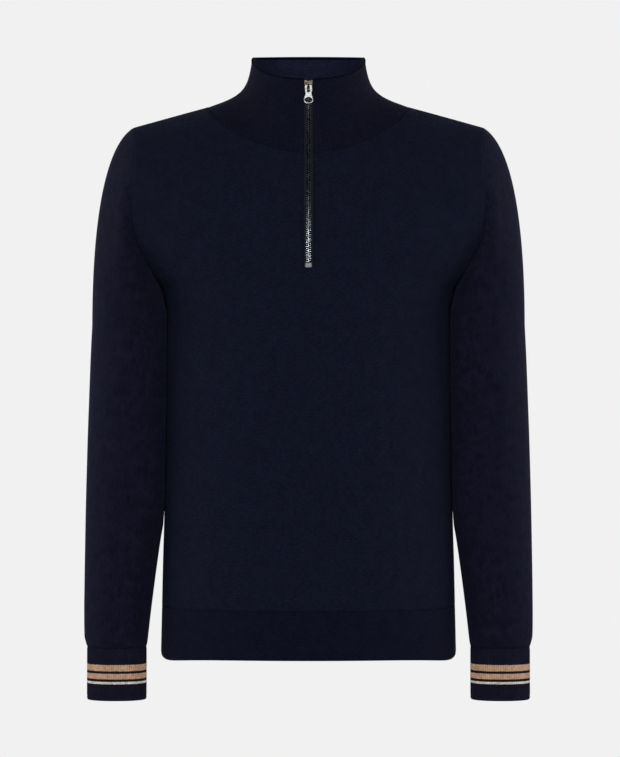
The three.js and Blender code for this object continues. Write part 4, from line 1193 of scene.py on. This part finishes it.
def rounded_tooth():
    """A tooth as a closed skin: a ring of 8 points at each of its sections, and three cells on each end."""
    turn = (np.arange(8) + 0.5) / 8 * 2 * math.pi
    square = np.stack([np.cos(turn), np.sin(turn)], axis=-1)
    square = np.sign(square) * np.abs(square) ** TOOTH_SOFTNESS
    rings = np.stack(np.broadcast_arrays(
        TOOTH[:, 0:1], TOOTH[:, 2:3] * square[None, :, 0], TOOTH[:, 1:2] * square[None, :, 1]
    ), axis=-1)
    faces = grid_faces(len(TOOTH), 8, closed_columns=True)
    cap = np.array([(0, 1, 2, 3), (0, 3, 4, 7), (4, 5, 6, 7)])
    last = (len(TOOTH) - 1) * 8
    return rings.reshape(-1, 3), np.concatenate([faces, cap[:, ::-1], cap + last])


def outward(points, faces):
    """The faces of a closed skin, turned if need be so that they face out."""
    return faces[:, ::-1] if faces_in(points, faces) else faces


def placed_copies(template, faces, origins, x_ways, y_ways, z_ways):
    """Copies of a small skin, each with its own origin and three axes, as one set of points and faces."""
    points = (
        origins[:, None, :] + template[None, :, 0:1] * x_ways[:, None, :]
        + template[None, :, 1:2] * y_ways[:, None, :] + template[None, :, 2:3] * z_ways[:, None, :]
    )
    turned = outward(points[0], faces)
    copies = np.arange(len(origins))[:, None, None] * len(template) + turned[None]
    return points.reshape(-1, 3), copies.reshape(-1, 4)


zip_teeth = metal_material("zip_teeth", (0.31, 0.34, 0.375, 1.0), 0.22, 0.85, 300.0)
tooth_points, tooth_faces = rounded_tooth()
chain_low = ZIP_FOOT_Z + STOP_HEIGHT + CHAIN_CLEAR
chain_high = AXLE_Z + CHAIN_OVER
count = int((chain_high - chain_low) / TOOTH_PITCH)
chain_points, chain_faces = [], []
for sign in (-1.0, 1.0):
    tooth_z = chain_low + TOOTH_PITCH * (np.arange(count) + 0.5 + sign * TOOTH_SHIFT)
    _, out, up = zip_place(tooth_z)
    origins = zip_point(np.zeros(count), tooth_z, np.full(count, TEETH_DEPTH))
    across = np.broadcast_to(np.array([sign, 0.0, 0.0]), out.shape)
    points, faces = placed_copies(tooth_points, tooth_faces, origins, across, out, up)
    chain_faces.append(faces + sum(len(part) for part in chain_points))
    chain_points.append(points)
chain = new_piece(
    "chain_teeth", np.concatenate(chain_points), np.concatenate(chain_faces), zip_teeth, smooth=False
)
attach(chain, "garment")
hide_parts("zip_chain")


# Bottom stop: a small pressed metal clip in a paler satin grey, folded over the ends of both tapes
# below the last tooth. Its front and its back stand out and in from the zip's line.
STOP_HALF = 0.0043
STOP_FRONT = 0.0007
STOP_BACK = -0.00125
stop_metal = metal_material("stop_metal", (0.098, 0.103, 0.108, 1.0), 0.45, 0.15, 500.0)


def rounded_block(half, power, steps=10):
    """A box with soft edges: a sphere of cells pushed out towards the box by a power of each direction."""
    side = np.tan(np.linspace(-math.pi / 4, math.pi / 4, steps + 1))
    a, b = np.meshgrid(side, side, indexing="ij")
    one = np.ones_like(a)
    faces_of_cube = (
        (one, a, b), (-one, b, a), (b, one, a), (a, -one, b), (a, b, one), (b, a, -one),
    )
    points = np.concatenate([np.stack(part, axis=-1).reshape(-1, 3) for part in faces_of_cube])
    cells = grid_faces(steps + 1, steps + 1)
    faces = np.concatenate([cells + k * (steps + 1) ** 2 for k in range(6)])
    points /= np.linalg.norm(points, axis=-1, keepdims=True)
    points = np.sign(points) * np.abs(points) ** power
    _, first, same = np.unique(np.round(points, 6), axis=0, return_index=True, return_inverse=True)
    return points[first] * np.asarray(half), same.reshape(-1)[faces]


def zip_frame_points(points, z):
    """Points given as across, out and up from the zip's line at one height."""
    place, out, up = zip_place(np.array([z]))
    return place + points[:, 0:1] * np.array([[1.0, 0.0, 0.0]]) + points[:, 1:2] * out + points[:, 2:3] * up


stop_block, stop_faces = rounded_block((STOP_HALF, (STOP_FRONT - STOP_BACK) / 2, STOP_HEIGHT / 2), 0.5)
stop_block[:, 1] += (STOP_FRONT + STOP_BACK) / 2
stop_points = zip_frame_points(stop_block, ZIP_FOOT_Z + STOP_HEIGHT / 2)
stop = new_piece("stop_clip", stop_points, outward(stop_points, stop_faces), stop_metal)
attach(stop, "garment")
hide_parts("zip_bottom_stop")


# Slider: a cast body with a front and a rear plate round the chain, flared at its crown, joined by a
# post and by side walls, with a bail for the tab. It is held at the collar's top, closed.
AXLE_OUT = 0.00225
slider_metal = metal_material("slider_metal", (0.15, 0.13, 0.105, 1.0), 0.30, 0.96, 330.0)
# Painted shade: the bail is a near black metal, so that the tab's slot round it reads as shadow.
bail_metal_painted_shade = metal_material("bail_metal_painted_shade", (0.03, 0.028, 0.025, 1.0), 0.35, 0.5, 520.0)


def cut_plate(name, outline, holes, thick, bevel, material):
    """A flat plate from an outline and its holes (across, up), with rounded edges, centred in its depth."""
    data = bpy.data.curves.new(name, "CURVE")
    data.dimensions = "2D"
    data.fill_mode = "BOTH"
    data.extrude = thick / 2 - bevel
    data.bevel_depth = bevel
    data.bevel_resolution = 2
    data.offset = -bevel
    for loop in (outline, *holes):
        spline = data.splines.new("POLY")
        spline.points.add(len(loop) - 1)
        flat = np.zeros((len(loop), 4), dtype=np.float32)
        flat[:, :2] = loop
        flat[:, 3] = 1.0
        spline.points.foreach_set("co", flat.ravel())
        spline.use_cyclic_u = True
    scratch = bpy.data.objects.new(name, data)
    bpy.context.scene.collection.objects.link(scratch)
    bpy.context.view_layer.update()
    mesh = bpy.data.meshes.new_from_object(scratch.evaluated_get(bpy.context.evaluated_depsgraph_get()))
    bpy.data.objects.remove(scratch)
    bpy.data.curves.remove(data)
    mesh.materials.clear()
    mesh.materials.append(material)
    mesh.name = name
    return mesh


def mesh_points(mesh):
    """The places of a mesh's points, one row each."""
    points = np.empty(len(mesh.vertices) * 3, dtype=np.float32)
    mesh.vertices.foreach_get("co", points)
    return points.reshape(-1, 3).astype(float)


def join_meshes(name, meshes):
    """Several meshes as one object."""
    parts = []
    for mesh in meshes:
        part = bpy.data.objects.new(name, mesh)
        bpy.context.scene.collection.objects.link(part)
        parts.append(part)
    with bpy.context.temp_override(
        active_object=parts[0], object=parts[0], selected_objects=parts, selected_editable_objects=parts
    ):
        bpy.ops.object.join()
    parts[0].name = name
    parts[0].data.name = name
    return parts[0]


def sampled_path(start, *pieces, steps=6):
    """Points along a path of straight and cubic pieces: each is its end, or two handles and its end."""
    path = [np.array([start])]
    for piece in pieces:
        a = path[-1][-1]
        if len(piece) == 1:
            path.append(np.array(piece, dtype=float))
            continue
        b, c, d = (np.array(p, dtype=float) for p in piece)
        t = np.linspace(0.0, 1.0, steps + 1)[1:, None]
        path.append(a * (1 - t) ** 3 + 3 * b * t * (1 - t) ** 2 + 3 * c * t * t * (1 - t) + d * t**3)
    return np.concatenate(path)


def both_sides(right):
    """An outline from its right half, listed from the top down, and its mirror."""
    left = right[::-1].copy()
    left[:, 0] *= -1
    keep = np.abs(left[:, 0]) > 1e-9
    return np.concatenate([right, left[keep]])


def on_slider(mesh, out_shift=0.0, plate=True):
    """Puts a mesh from the slider's own frame (a plate's is across, up, out) on the zip at the axle."""
    points = mesh_points(mesh)
    if plate:
        points = points[:, [0, 2, 1]]
    points[:, 1] += out_shift
    placed = zip_frame_points(points, AXLE_Z)
    mesh.vertices.foreach_set("co", placed.astype(np.float32).ravel())
    mesh.update()
    return mesh


MM = 0.001
crown = both_sides(sampled_path(
    (0.0, 6.3), ((1.2, 6.9), (2.4, 7.6), (3.6, 7.6)), ((4.9, 7.6), (5.2, 6.6), (5.1, 5.2)),
    ((4.9, 2.6), (4.1, 1.4), (4.0, -1.0)), ((3.9, -3.4), (3.6, -5.0), (2.2, -5.0)), ((0.0, -5.0),),
) * MM)
front_plate = on_slider(cut_plate("slider_front", crown, (), 0.0016, 0.0004, slider_metal), -0.0003)
rear_plate = on_slider(cut_plate("slider_rear", crown, (), 0.0011, 0.0003, slider_metal), -0.0051)


def skin_mesh(name, points, faces, material):
    """A smooth mesh from a closed skin, turned to face out."""
    mesh = bpy.data.meshes.new(name)
    mesh.from_pydata(points.tolist(), [], outward(points, faces).tolist())
    mesh.polygons.foreach_set("use_smooth", np.full(len(faces), True))
    mesh.materials.append(material)
    return mesh


def arch_mesh(name, radius, thick, foot, material):
    """The bail: a round wire in the plane of the zip's line, up a leg, over the axle and down the other."""
    leg = np.linspace(0.0, 1.0, 5)
    turn = np.linspace(0.0, math.pi, 17)
    up = np.concatenate([np.full(4, radius), radius * np.cos(turn), np.full(4, -radius)])
    out = np.concatenate([foot * (1 - leg[:4]), radius * np.sin(turn), foot * leg[1:]])
    path = np.stack([np.zeros_like(up), out, up], axis=-1)
    way = np.gradient(path, axis=0)
    way /= np.linalg.norm(way, axis=-1, keepdims=True)
    side = np.array([1.0, 0.0, 0.0])
    lift = np.cross(way, side)
    ring = np.arange(10) / 10 * 2 * math.pi
    points = (
        path[:, None, :] + thick[0] * np.cos(ring)[None, :, None] * side
        + thick[1] * np.sin(ring)[None, :, None] * lift[:, None, :]
    )
    faces = grid_faces(len(path), 10, closed_columns=True)
    cap = np.array([(0, 1, 2, 3), (0, 3, 4, 9), (4, 5, 8, 9), (5, 6, 7, 8)])
    faces = np.concatenate([faces, cap[:, ::-1], cap + (len(path) - 1) * 10])
    return skin_mesh(name, points.reshape(-1, 3), faces, material)


# Half sizes and middles of the post and of the two side walls: across, out, up.
SLIDER_BLOCKS = (
    ("slider_post", (0.0017, 0.0022, 0.0014), (0.0, -0.0027, 0.0060)),
    ("slider_flange", (0.0005, 0.0010, 0.0040), (-0.0041, -0.0012, -0.0005)),
    ("slider_flange", (0.0005, 0.0010, 0.0040), (0.0041, -0.0012, -0.0005)),
)
BLOCK_POWER = 0.3
slider_parts = [front_plate, rear_plate]
for block_name, block_half, block_middle in SLIDER_BLOCKS:
    block_points, block_faces = rounded_block(block_half, BLOCK_POWER)
    block_skin = skin_mesh(block_name, block_points + np.array(block_middle), block_faces, slider_metal)
    slider_parts.append(on_slider(block_skin, plate=False))
bail = arch_mesh("slider_bail", 0.0020, (0.0009, 0.00045), -0.0019, bail_metal_painted_shade)
slider_parts.append(on_slider(bail, AXLE_OUT, plate=False))
slider = join_meshes("slider_body", slider_parts)
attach(slider, "garment")
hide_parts("zip_slider")


# Pull tab: a flat cast plate, polished, with a slot for the bail, a waist and a wide oval hole below.
# It hangs on the slider's bail.
TAB_THICK = 0.0014
TAB_BEVEL = 0.00035
HOLE_POINTS = 28
# The hole in mm: half width, half height and distance below the axle.
TAB_HOLE = (4.3, 3.2, 16.9)
tab_metal = metal_material("tab_metal", (0.46, 0.465, 0.45, 1.0), 0.38, 0.4, 420.0)
tab_outline = both_sides(sampled_path(
    (0.0, 0.8), ((3.6, 0.8),), ((4.05, 0.75), (4.3, 0.4), (4.3, -0.2)), ((4.2, -5.6),),
    ((4.1, -7.4), (3.5, -7.6), (3.5, -9.0)), ((3.6, -11.3), (5.35, -12.8), (5.4, -17.0)),
    ((5.4, -20.6), (3.6, -21.2), (0.0, -21.2)),
) * MM)
tab_slot = both_sides(sampled_path(
    (0.0, -0.8), ((1.6, -0.8),), ((1.6, -7.2),), ((1.5, -7.7), (1.0, -7.9), (0.0, -7.9)),
) * MM)
hole_turn = np.arange(HOLE_POINTS) / HOLE_POINTS * 2 * math.pi
hole_wide, hole_high, hole_below = TAB_HOLE
tab_hole = np.stack(
    [hole_wide * np.cos(hole_turn), hole_high * np.sin(hole_turn) - hole_below], axis=-1
) * MM
tab_plate = cut_plate("tab_plate", tab_outline, (tab_slot, tab_hole), TAB_THICK, TAB_BEVEL, tab_metal)
tab = join_meshes("tab_plate", [on_slider(tab_plate, AXLE_OUT)])
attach(tab, "pull")
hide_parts("zip_pull")


# Linking and marks: the chain of loops that joins each seam, and the slanting marks that the
# machine leaves beside the armholes where it moved stitches in.
# Step, size (along, across, out) and lift of each seam's stitches.
NECK_STITCH = (0.0016, (0.0018, 0.0009, 0.0006), -0.0001)
BAND_STITCH = (0.0015, (0.0016, 0.0009, 0.0006), -0.0002)
CUFF_STITCH = (0.0015, (0.0016, 0.0009, 0.0006), -0.0005)
ARMHOLE_STITCH = (0.0016, (0.0016, 0.0008, 0.0005), -0.0004)
NECK_PLACES = 120
CUFF_PLACES = 240
ARMHOLE_PLACES = 400
# The marks: distance from the armhole, lowest and highest, how many, size and slant.
MARKS_INSET = 0.008
MARKS_Z = (-0.185, -0.040)
MARKS_COUNT = 26
MARK_SIZE = (0.0032, 0.0009, 0.0005)
MARK_SLANT = math.radians(28)
stitch_yarn = knit_material("stitch_yarn", tinted(NAVY, 1.25), relief=0.0001)
bead_points, bead_faces = rounded_block((0.5, 0.5, 0.5), 1.0, 2)


def stitch_run(path, normals, pitch, size, lift, slant=0.0, closed=False):
    """A run of small rounded stitches at equal steps along a path, each turned by the slant about the way
    out, which is the normal there."""
    if closed:
        path, normals = np.concatenate([path, path[:1]]), np.concatenate([normals, normals[:1]])
    length = run_lengths(path, 0)
    count = max(2, int(length[-1] / pitch))
    index = np.arange(len(path))
    spots = np.interp((np.arange(count) + 0.5) / count * length[-1], length, index)

    def along(values, places):
        """Rows of values at places between the path's points, each on the straight line between two."""
        return np.stack([np.interp(places, index, values[:, k]) for k in range(3)], axis=-1)

    at, out = along(path, spots), along(normals, spots)
    out /= np.linalg.norm(out, axis=-1, keepdims=True)
    way = along(path, spots + 0.2) - along(path, spots - 0.2)
    way -= out * np.einsum("ij,ij->i", way, out)[:, None]
    way /= np.linalg.norm(way, axis=-1, keepdims=True)
    side = np.cross(out, way)
    turned = math.cos(slant) * way + math.sin(slant) * side
    beside = np.cross(out, turned)
    return placed_copies(
        bead_points, bead_faces, at + lift * out, size[0] * turned, size[1] * beside, size[2] * out
    )


def stitch_piece(name, runs):
    """Runs of stitches as one piece of yarn on the garment."""
    counts = np.cumsum([0] + [len(points) for points, _ in runs])
    faces = np.concatenate([faces + start for (_, faces), start in zip(runs, counts)])
    piece = new_piece(name, np.concatenate([points for points, _ in runs]), faces, stitch_yarn)
    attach(piece, "garment")
    return piece


def mirrored_runs(points, normals, stitch, closed=True):
    """A run of stitches on the right side of the body and its mirror on the left."""
    return [
        stitch_run(points * mirror, normals * mirror, *stitch, closed=closed)
        for mirror in (np.ones(3), MIRROR)
    ]


def neck_seam_runs():
    """The neck seam, from the zip round the back to the zip."""
    share = np.linspace(1.0, 0.0, NECK_PLACES)
    runs = []
    for half, order in (("front", share), ("back", share[::-1])):
        x, z = neck_place(half, order)
        runs += mirrored_runs(*torso_point(x, z, half), NECK_STITCH, closed=False)
    return runs


def band_seam_runs():
    """The seam over the hem band, all round; its stitches face straight away from the band."""
    ring = band_ring(np.full((1, 1), BAND_SEAM_Z - SEAM_GAP / 2), np.zeros((1, 1)))[0]
    rise = np.array([0.0, 0.0, 0.001])
    normals = grid_normals(np.stack([ring - rise, ring + rise]), True)[0]
    facing = np.sign(np.einsum("ij,ij->i", normals, ring * [1.0, 1.0, 0.0]))[:, None]
    return [stitch_run(ring, normals * facing, *BAND_STITCH, closed=True)]


def cuff_seam_runs():
    """The seams over the cuffs, all round; their stitches face away from the arm's middle."""
    turn = np.linspace(0.0, 2 * math.pi, CUFF_PLACES, endpoint=False)
    ring = arm_point(np.full(CUFF_PLACES, CUFF_SEAM_Z - SEAM_GAP / 2), turn)
    return mirrored_runs(ring, ring - ring.mean(axis=0), CUFF_STITCH)


def armhole_runs():
    """The armhole seams as fine low stitches sunk in the seam."""
    turn = np.linspace(0.0, 2 * math.pi, ARMHOLE_PLACES, endpoint=False)
    return mirrored_runs(*armhole(turn), ARMHOLE_STITCH)


def armhole_marks():
    """Slanting marks at even heights beside the armholes, in front and behind; the slant is mirrored."""
    low, high = MARKS_Z
    z = np.linspace(low, high, MARKS_COUNT)
    x = -(half_width(z) - MARKS_INSET)
    runs = []
    for side in ("front", "back"):
        points, normals = torso_point(x, z, side)
        for mirror, slant in ((np.ones(3), MARK_SLANT), (MIRROR, -MARK_SLANT)):
            pitch = (high - low) / MARKS_COUNT
            runs.append(stitch_run(points * mirror, normals * mirror, pitch, MARK_SIZE, 0.0, slant))
    return runs


stitch_piece("neck_linking", neck_seam_runs())
stitch_piece("band_linking", band_seam_runs())
stitch_piece("cuff_linking", cuff_seam_runs())
stitch_piece("armhole_linking", armhole_runs())
stitch_piece("fashioning_marks", armhole_marks())
